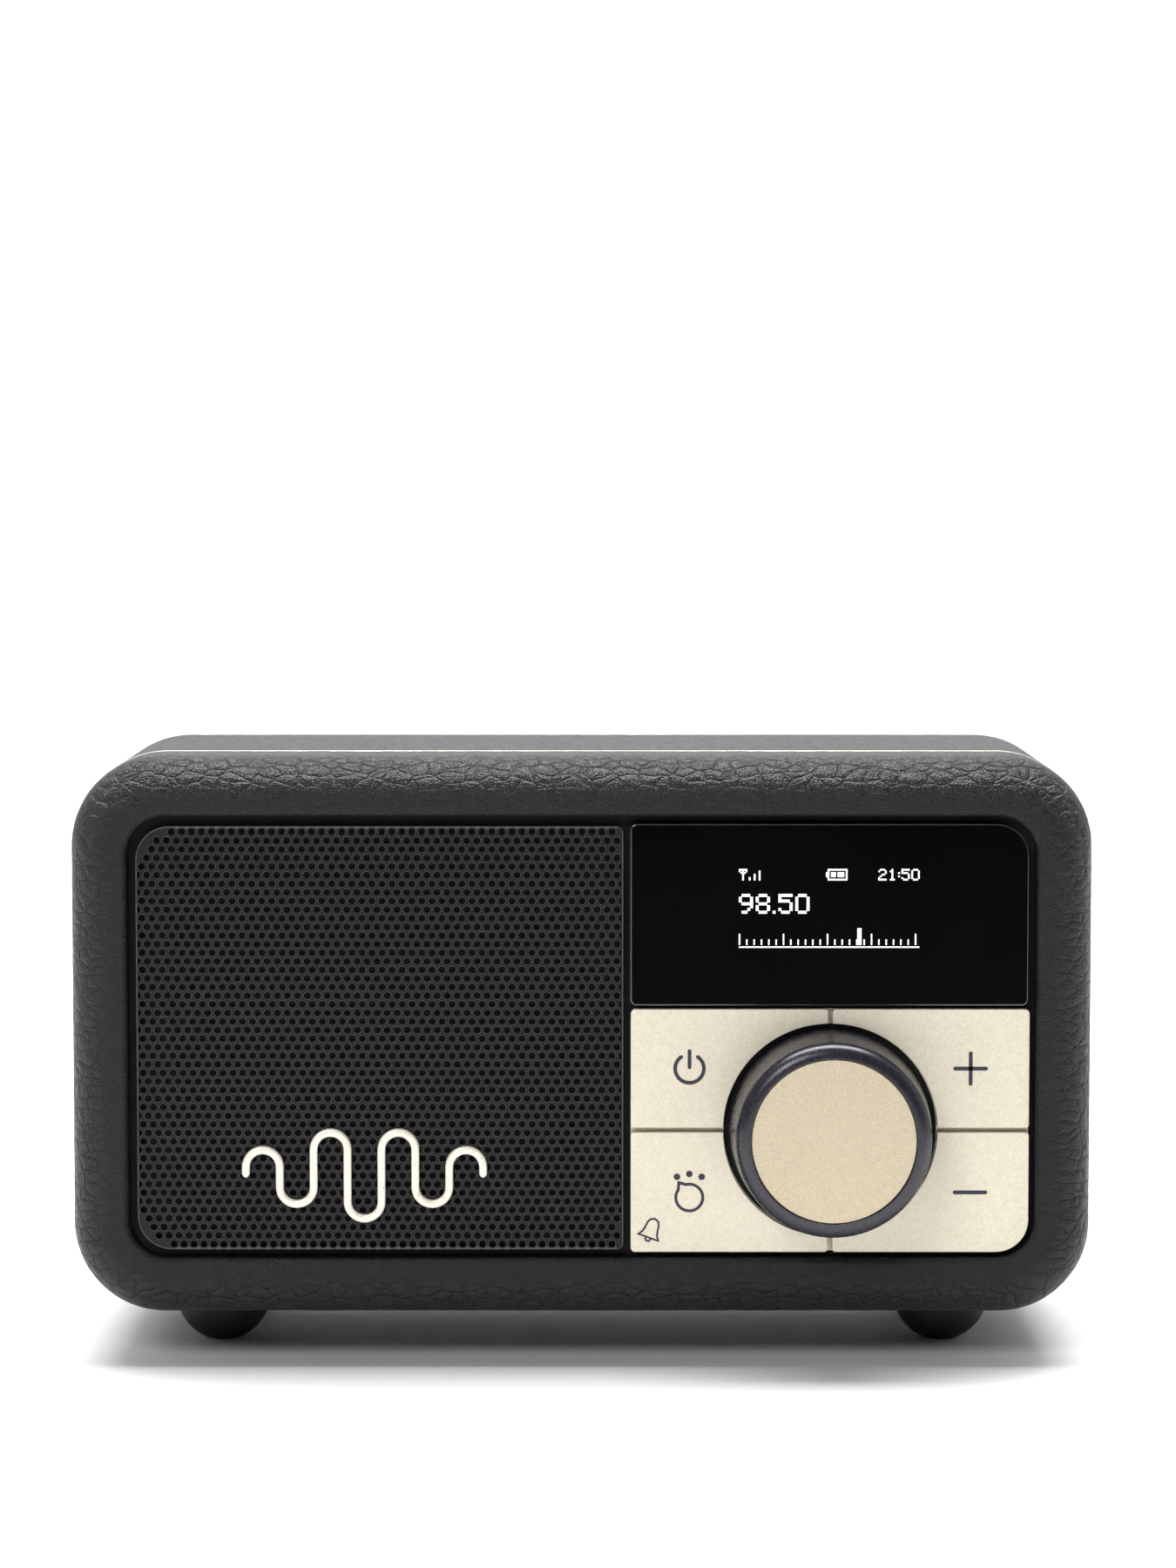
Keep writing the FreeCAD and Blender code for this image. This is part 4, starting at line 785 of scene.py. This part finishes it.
DOT = 0.2157 * MM
SCREEN_WIDTH = 27.6 * MM
SCREEN_MARGIN = 16.6 * MM
ROW_DROPS = (6.9 * MM, 10.75 * MM, 16.0 * MM)
DIGITS = {
    "0": ("01110", "10001", "10001", "10001", "10001", "10001", "01110"),
    "1": ("00100", "01100", "00100", "00100", "00100", "00100", "01110"),
    "2": ("01110", "10001", "00001", "00110", "01000", "10000", "11111"),
    "5": ("11111", "10000", "11110", "00001", "00001", "10001", "01110"),
    "8": ("01110", "10001", "10001", "01110", "10001", "10001", "01110"),
    "9": ("01110", "10001", "10001", "01111", "00001", "00010", "01100"),
    ".": ("0", "0", "0", "0", "0", "0", "1"),
    ":": ("0", "0", "1", "0", "1", "0", "0"),
}
MAST_ICON = ("11111", "10101", "01110", "00100", "00100", "00100", "00100")
BARS_ICON = ("0000000", "0000001", "0000001", "0001001", "0001001", "1001001", "1001001")
CELL_ICON = ("0111111111111", "0100000000001", "1101110111101", "1101110111101", "1101110111101",
             "0100000000001", "0111111111111")


def lit_dots(rows, left, top, step):
    """The lit dots of a small picture, each as the (x, z) of its lower left corner and its size."""
    return [(left + column * step, top - (row + 1) * step, step)
            for row, line in enumerate(rows) for column, mark in enumerate(line) if mark == "1"]


def figures(text, left, top, step):
    """The lit dots of a row of digits that starts at left."""
    dots = []
    for mark in text:
        dots += lit_dots(DIGITS[mark], left, top, step)
        left += (len(DIGITS[mark][0]) + 1) * step
    return dots


def figures_width(text, step):
    return (sum(len(DIGITS[mark][0]) + 1 for mark in text) - 1) * step


def tuning_scale(left, base):
    """Ticks, every sixth of them taller, on a line of dots with a needle; base is its low edge."""
    ticks, tick_step, line_dots = 25, 5.2 * DOT, 128
    needle_place, needle_width, needle_tall = 84, 3, 12
    first = base + 2 * DOT
    dots = []
    for tick in range(ticks):
        tall = 8 if tick % 6 == 0 else 4
        dots += [(left + tick * tick_step, first + step * DOT, DOT) for step in range(tall)]
    dots += [(left + step * DOT, base, DOT) for step in range(line_dots)]
    dots += [(left + (needle_place + column) * DOT, first + step * DOT, DOT)
             for column in range(needle_width) for step in range(needle_tall)]
    return dots


def dot_mesh(name, dots, front, back):
    """Thin tiles, one for each lit dot."""
    points = []
    faces = []
    for left, low, step in dots:
        start = len(points)
        right, high = left + step, low + step
        for y in (front, back):
            points += [(left, y, low), (right, y, low), (right, y, high), (left, y, high)]
        faces += [[start + index for index in face] for face in
                  ((0, 1, 2, 3), (7, 6, 5, 4), (0, 4, 5, 1), (1, 5, 6, 2), (2, 6, 7, 3), (3, 7, 4, 0))]
    piece(name, points, faces, "dots", smooth_angle=20)


def display_lens():
    low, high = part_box("display_lens")
    radii = (1.0 * MM, 5.0 * MM, 1.0 * MM, 1.0 * MM)
    loop = rounded_outline((low.x, high.x, low.z, high.z), radii, (24, 12, 14))
    # Painted highlight: the bevel gets the lighter lens edge finish.
    bevelled_plate("lens_plate", loop, low.y, high.y, 0.22 * MM, "lens", "lens_edge_painted_highlight",
                   replaces=("display_lens",))


def display_picture():
    """Signal, battery and clock above, the frequency below them and the scale at the bottom."""
    low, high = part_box("display_lens")
    left = low.x + SCREEN_MARGIN
    right = left + SCREEN_WIDTH
    small, large = 1.17 * DOT, 2 * DOT
    first, second, third = (high.z - drop for drop in ROW_DROPS)
    clock = "21:50"
    dots = lit_dots(MAST_ICON, left, first, small)
    dots += lit_dots(BARS_ICON, left + 6 * small, first, small)
    dots += lit_dots(CELL_ICON, left + 13.3 * MM, first, small)
    dots += figures(clock, right - figures_width(clock, small), first, small)
    dots += figures("98.50", left, second, large)
    dots += tuning_scale(left, third - 14 * DOT)
    dot_mesh("display_dots", dots, low.y - 0.02 * MM, low.y + 0.03 * MM)


# ------------------------------------------------------------------ tiles, icons and knob

TILE_GAP = 0.37 * MM
TILE_HOLE = 16.42 * MM
TILE_THICKNESS = 1.0 * MM
TILE_BEVEL = 0.1 * MM
TILE_CORNERS = {"power": 0.7 * MM, "source": 0.7 * MM, "plus": 0.7 * MM, "minus": 5.0 * MM}
ICON_INSET = 9.0 * MM
ICON_RAISE = 0.04 * MM
ICON_SINK = 0.05 * MM
STROKE = 0.56 * MM
BOLD = 0.6 * MM


def tile_loop(name, outer_radius):
    """The outline of a tile round the knob, whichever side of the knob it lies on."""
    low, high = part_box(name)
    side = 1 if (low.x + high.x) / 2 > knob_centre.x else -1
    up = 1 if (low.z + high.z) / 2 > knob_centre.z else -1
    reach_x = max(abs(low.x - knob_centre.x), abs(high.x - knob_centre.x))
    reach_z = max(abs(low.z - knob_centre.z), abs(high.z - knob_centre.z))
    small = 0.45 * MM
    lean = math.asin(TILE_GAP / TILE_HOLE)
    loop = arc((reach_x - small, TILE_GAP + small), small, -QUARTER, 0, 4)
    loop += arc((reach_x - outer_radius, reach_z - outer_radius), outer_radius, 0, QUARTER, 12)
    loop += arc((TILE_GAP + small, reach_z - small), small, QUARTER, 2 * QUARTER, 4)
    loop += arc((0, 0), TILE_HOLE, QUARTER - lean, lean, 40)
    loop = [(knob_centre.x + side * u, knob_centre.z + up * v) for u, v in loop]
    return np.array(loop if side * up > 0 else loop[::-1])


def tiles():
    for key, corner in TILE_CORNERS.items():
        button = f"{key}_button"
        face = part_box(button)[0].y
        bevelled_plate(f"{key}_tile", tile_loop(button, corner), face, face + TILE_THICKNESS,
                       TILE_BEVEL, "tile", body=f"{key}_key", replaces=(button,))


def ink(name, path, key, width=STROKE, closed=False):
    """A dark line a little proud of the tile that it is printed on."""
    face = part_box(f"{key}_button")[0].y
    section = [(-width / 2, face + ICON_SINK), (-width / 2, face - ICON_RAISE),
               (width / 2, face - ICON_RAISE), (width / 2, face + ICON_SINK)]
    sweep(name, path, section, "ink", closed=closed, body=f"{key}_key",
          round_ends=0 if closed else width / 2, smooth_angle=30)


def icon_place(key):
    """The middle of a tile's icon: a fixed distance in from its outer side, at mid height."""
    low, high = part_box(f"{key}_button")
    left_side = (low.x + high.x) / 2 < knob_centre.x
    x = low.x + ICON_INSET if left_side else high.x - ICON_INSET
    return x, (low.z + high.z) / 2


def power_icon():
    """A ring that is open at the top, with a bar in the opening."""
    x, z = icon_place("power")
    ring = arc((x, z), 2.2 * MM, math.radians(125), math.radians(415), 40)
    ink("power_ring", ring, "power")
    ink("power_bar", [(x, z + 0.2 * MM), (x, z + 2.7 * MM)], "power")


def level_bar(key):
    """The level line of the plus or minus icon; returns its middle and half its length."""
    x, z = icon_place(key)
    arm = 2.35 * MM
    ink(f"{key}_level", [(x - arm, z), (x + arm, z)], key, BOLD)
    return x, z, arm


def plus_icon():
    x, z, arm = level_bar("plus")
    gap = 0.2 * MM
    ink("plus_upper", [(x, z + gap), (x, z + arm)], "plus", BOLD)
    ink("plus_lower", [(x, z - gap), (x, z - arm)], "plus", BOLD)


def dial_icon():
    """A round dial with a pointed corner under three dots."""
    x, z = icon_place("source")
    z -= 0.8 * MM
    dial = 2.07 * MM
    point = 1.36 * dial
    tip = math.radians(125)
    gap = math.radians(20)
    outline = arc((x, z), dial, tip + gap, tip - gap + FULL_TURN, 40)
    outline.append((x + point * math.cos(tip), z + point * math.sin(tip)))
    ink("dial_outline", outline, "source", 0.46 * MM, closed=True)
    for index, (across, rise) in enumerate(((-1.9, 3.2), (0, 3.65), (1.9, 3.2))):
        spot = arc((x + across * MM, z + rise * MM), 0.26 * MM, 0, FULL_TURN, 12)[:-1]
        ink(f"dial_dot_{index}", spot, "source", 0.5 * MM, closed=True)


def bell_icon():
    """A tilted bell: a dome that flares to its mouth, a level mouth and a clapper."""
    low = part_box("source_button")[0]
    x, z = low.x + 3.15 * MM, low.z + 3.5 * MM
    tilt = math.radians(-20)

    def tilted(shape):
        return [(x + (u * math.cos(tilt) - v * math.sin(tilt)) * MM,
                 z + (u * math.sin(tilt) + v * math.cos(tilt)) * MM) for u, v in shape]

    half = [(0.0, 1.75), (0.62, 1.5), (0.92, 0.9), (1.02, 0.0), (1.2, -0.7), (1.62, -1.3)]
    outline = [(-u, v) for u, v in reversed(half[1:])] + half
    clapper = [(-0.42, -1.5), (-0.25, -1.85), (0.25, -1.85), (0.42, -1.5)]
    ink("bell_outline", tilted(outline), "source", 0.3 * MM, closed=True)
    ink("bell_clapper", tilted(clapper), "source", 0.28 * MM)


def knob_shell():
    """The turned knob: a fat rounded rim round the disc, a tapered side and a hollow behind."""
    front, back = knob_low.y, knob_high.y
    rim = 2.2 * MM
    seat, nose, base = 12.55 * MM, 14.9 * MM, (knob_high.x - knob_low.x) / 2
    seat_floor = front + 1.1 * MM
    hollow, hollow_floor = 11.5 * MM, front + 3.5 * MM
    bore = 0.4 * MM
    profile = [(seat, seat_floor), (seat, front + 0.12 * MM), (seat + 0.1 * MM, front)]
    profile += [(nose - rim + rim * math.sin(angle), front + rim * (1 - math.cos(angle)))
                for angle in np.linspace(0, QUARTER, 12)]
    profile += [(nose + (base - nose) * share, front + rim + (back - front - rim) * share)
                for share in np.linspace(0.08, 0.985, 8)]
    profile += [(base - 0.1 * MM, back - 0.02 * MM), (base - 0.3 * MM, back)]
    profile += [(hollow, back), (hollow, hollow_floor), (bore, hollow_floor), (bore, seat_floor)]
    lathe("knob_shell", profile, knob_centre, 1, "knob", steps=160, body="knob",
          replaces=("knob_body",), smooth_angle=35)


def knob_gap_painted_shade():
    """A dark ring on the control plate in the gap between the knob and the tiles: painted shade,
    standing in for the shade that falls in that gap.
    """
    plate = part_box("control_plate")[0].y
    inner, outer = 14.0 * MM, TILE_HOLE - 0.1 * MM
    low, high = plate - 0.02 * MM, plate - 0.12 * MM
    ring = [(inner, low), (inner, high), (outer, high), (outer, low)]
    # Painted shade: a near-black ring put where the gap is in shadow.
    lathe("knob_gap_painted_shade", ring, knob_centre, 1, "cloth", steps=120, smooth_angle=30)


def knob_disc():
    low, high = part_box("knob_cap")
    radius = (high.x - low.x) / 2
    edge = 0.12 * MM
    disc = [(radius, high.y), (radius, low.y + edge), (radius - edge, low.y)]
    disc += [(radius * share, low.y) for share in (0.75, 0.5, 0.25, 0.06)]
    solid_lathe("knob_disc", disc, knob_centre, 1, "knob_disc", steps=160, body="knob",
                replaces=("knob_cap",), smooth_angle=30)


# ------------------------------------------------------------------ feet and aerial

def feet():
    """Rubber balls with a flat to stand on, cut off where they meet the case."""
    low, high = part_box("feet")
    ball = 7.5 * MM
    flat = 2.6 * MM
    middle = math.sqrt(ball ** 2 - flat ** 2)
    lowest, highest = -math.acos(flat / ball), math.asin((high.z - middle) / ball)
    profile = [(ball * math.cos(angle), middle + ball * math.sin(angle))
               for angle in np.linspace(lowest, highest, 22)]
    profile[0] = (flat, low.z)
    places = itertools.product((low.x + ball, high.x - ball), (low.y + ball, high.y - ball))
    for index, (x, y) in enumerate(places):
        item = solid_lathe(f"foot_{index}", profile, (x, y, 0), 2, "rubber", smooth_angle=30)
        if index == 0:
            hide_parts("feet")


def aerial_tubes():
    """The sliding chrome tubes, with rolled ends."""
    roll = 0.15 * MM
    for number in (2, 3, 4):
        node = f"aerial_section_{number}"
        low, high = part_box(node)
        radius = (high.z - low.z) / 2
        profile = [(radius - roll, low.x), (radius, low.x + roll),
                   (radius, high.x - roll), (radius - roll, high.x)]
        solid_lathe(f"tube_section_{number}", profile, (low + high) / 2, 0, "aerial", steps=40,
                    body=f"section_{number}", replaces=(node,), smooth_angle=30)


def aerial_tip():
    """A domed bead on the end of the thinnest tube."""
    low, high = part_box("aerial_tip")
    centre = (low + high) / 2
    radius = (high.z - low.z) / 2
    dome = [(radius * math.cos(angle), low.x + radius * 0.5 * (1 - math.sin(angle)))
            for angle in np.linspace(QUARTER * 0.94, 0, 7)]
    profile = dome + [(radius, high.x - 0.4 * MM), (radius * 0.8, high.x)]
    solid_lathe("tip_bead", profile, centre, 0, "aerial", steps=48, body="section_4",
                replaces=("aerial_tip",), smooth_angle=35)


# ------------------------------------------------------------------ studio

def studio_floor():
    """A pale floor, round in front and run up into a backdrop behind."""
    made, shader = new_material("studio_floor", Roughness=0.75)
    shade = noise(made, object_coordinates(made), 3.0, 2.0)
    drive(made, shader, "Base Color", blend_colours(made, shade, (0.76, 0.76, 0.76), (0.79, 0.79, 0.79)))
    reach, flat, bend, top = 1.1, 1.2, 0.8, 3.5
    line = [(-reach * math.cos(angle), 0.0, reach * math.sin(angle))
            for angle in np.linspace(0.05, QUARTER, 24)]
    line += [(flat + bend * math.sin(angle), bend * (1 - math.cos(angle)), reach)
             for angle in np.linspace(0, QUARTER, 24)]
    line.append((flat + bend, top, reach))
    points = [(x, y, z) for y, z, half_width in line for x in (-half_width, half_width)]
    mesh = bpy.data.meshes.new("studio_floor")
    mesh.from_pydata(points, [], grid_faces(len(line), 2, wrap_rows=False, wrap_columns=False))
    mesh.shade_smooth()
    mesh.materials.append(made)
    floor = bpy.data.objects.new("studio_floor", mesh)
    bpy.context.scene.collection.objects.link(floor)


def lamps():
    """Soft light from above, from the front left and onto the backdrop."""
    lamp("overhead", (0.0, 0.1, 0.8), (0.8, 0.35), (0, 0, 0.05), 14.0)
    lamp("front_fill", (-0.45, -0.95, 0.75), (0.5, 0.4), (0, 0, 0.05), 5.8)
    lamp("backdrop_wash", (0.0, 0.7, 1.7), (2.4, 0.5), (0, 2.0, 0.7), 45.0)


def surroundings():
    """Bright behind the radio and dim in front of it; seen directly, all of it is white."""
    world = bpy.data.worlds.new("studio")
    world.use_nodes = True
    way = add_node(world, "TexCoord").outputs["Generated"]
    backwards = add_node(world, "SeparateXYZ", {0: way}).outputs["Y"]
    light = spread(world, backwards, 0.12, 1.0, -0.4, 0.4)
    seen = add_node(world, "LightPath").outputs["Is Camera Ray"]
    strength = add_node(world, "Math", {0: light, 1: seen}, operation="MAXIMUM").outputs[0]
    background = world.node_tree.nodes["Background"]
    background.inputs["Color"].default_value = (1, 1, 1, 1)
    drive(world, background, "Strength", strength)
    bpy.context.scene.world = world


def lamp(name, place, size, target, power):
    data = bpy.data.lights.new(name, "AREA")
    data.shape = "RECTANGLE"
    data.size, data.size_y = size
    data.energy = power
    item = bpy.data.objects.new(name, data)
    item.location = place
    aim(item, target)
    bpy.context.scene.collection.objects.link(item)


def aim(item, target):
    way = Vector(target) - item.location
    item.rotation_euler = way.to_track_quat("-Z", "Y").to_euler()


def camera():
    """In front of the middle of the radio, a little above it and looking slightly down."""
    across, distance_mm, height = 1.7 * MM, 683.5, 140.4 * MM
    down, left = math.radians(4.22), 0.00103
    data = bpy.data.cameras.new("camera")
    data.lens = 103.3
    data.sensor_width = 36.0
    data.clip_start = 0.01
    item = bpy.data.objects.new("camera", data)
    item.location = (across, depth(-distance_mm), height)
    item.rotation_euler = (QUARTER - down, 0, left)
    bpy.context.scene.collection.objects.link(item)
    bpy.context.scene.camera = item


paint_frame()
front_cover()
rear_cover()
piping_cord()
perforated_sheet()
grille_fold()
emblem_ribbon()
display_lens()
display_picture()
tiles()
power_icon()
plus_icon()
level_bar("minus")
dial_icon()
bell_icon()
knob_shell()
knob_gap_painted_shade()
knob_disc()
feet()
aerial_tubes()
aerial_tip()
studio_floor()
surroundings()
lamps()
camera()

bpy.context.scene.view_settings.view_transform = "Standard"
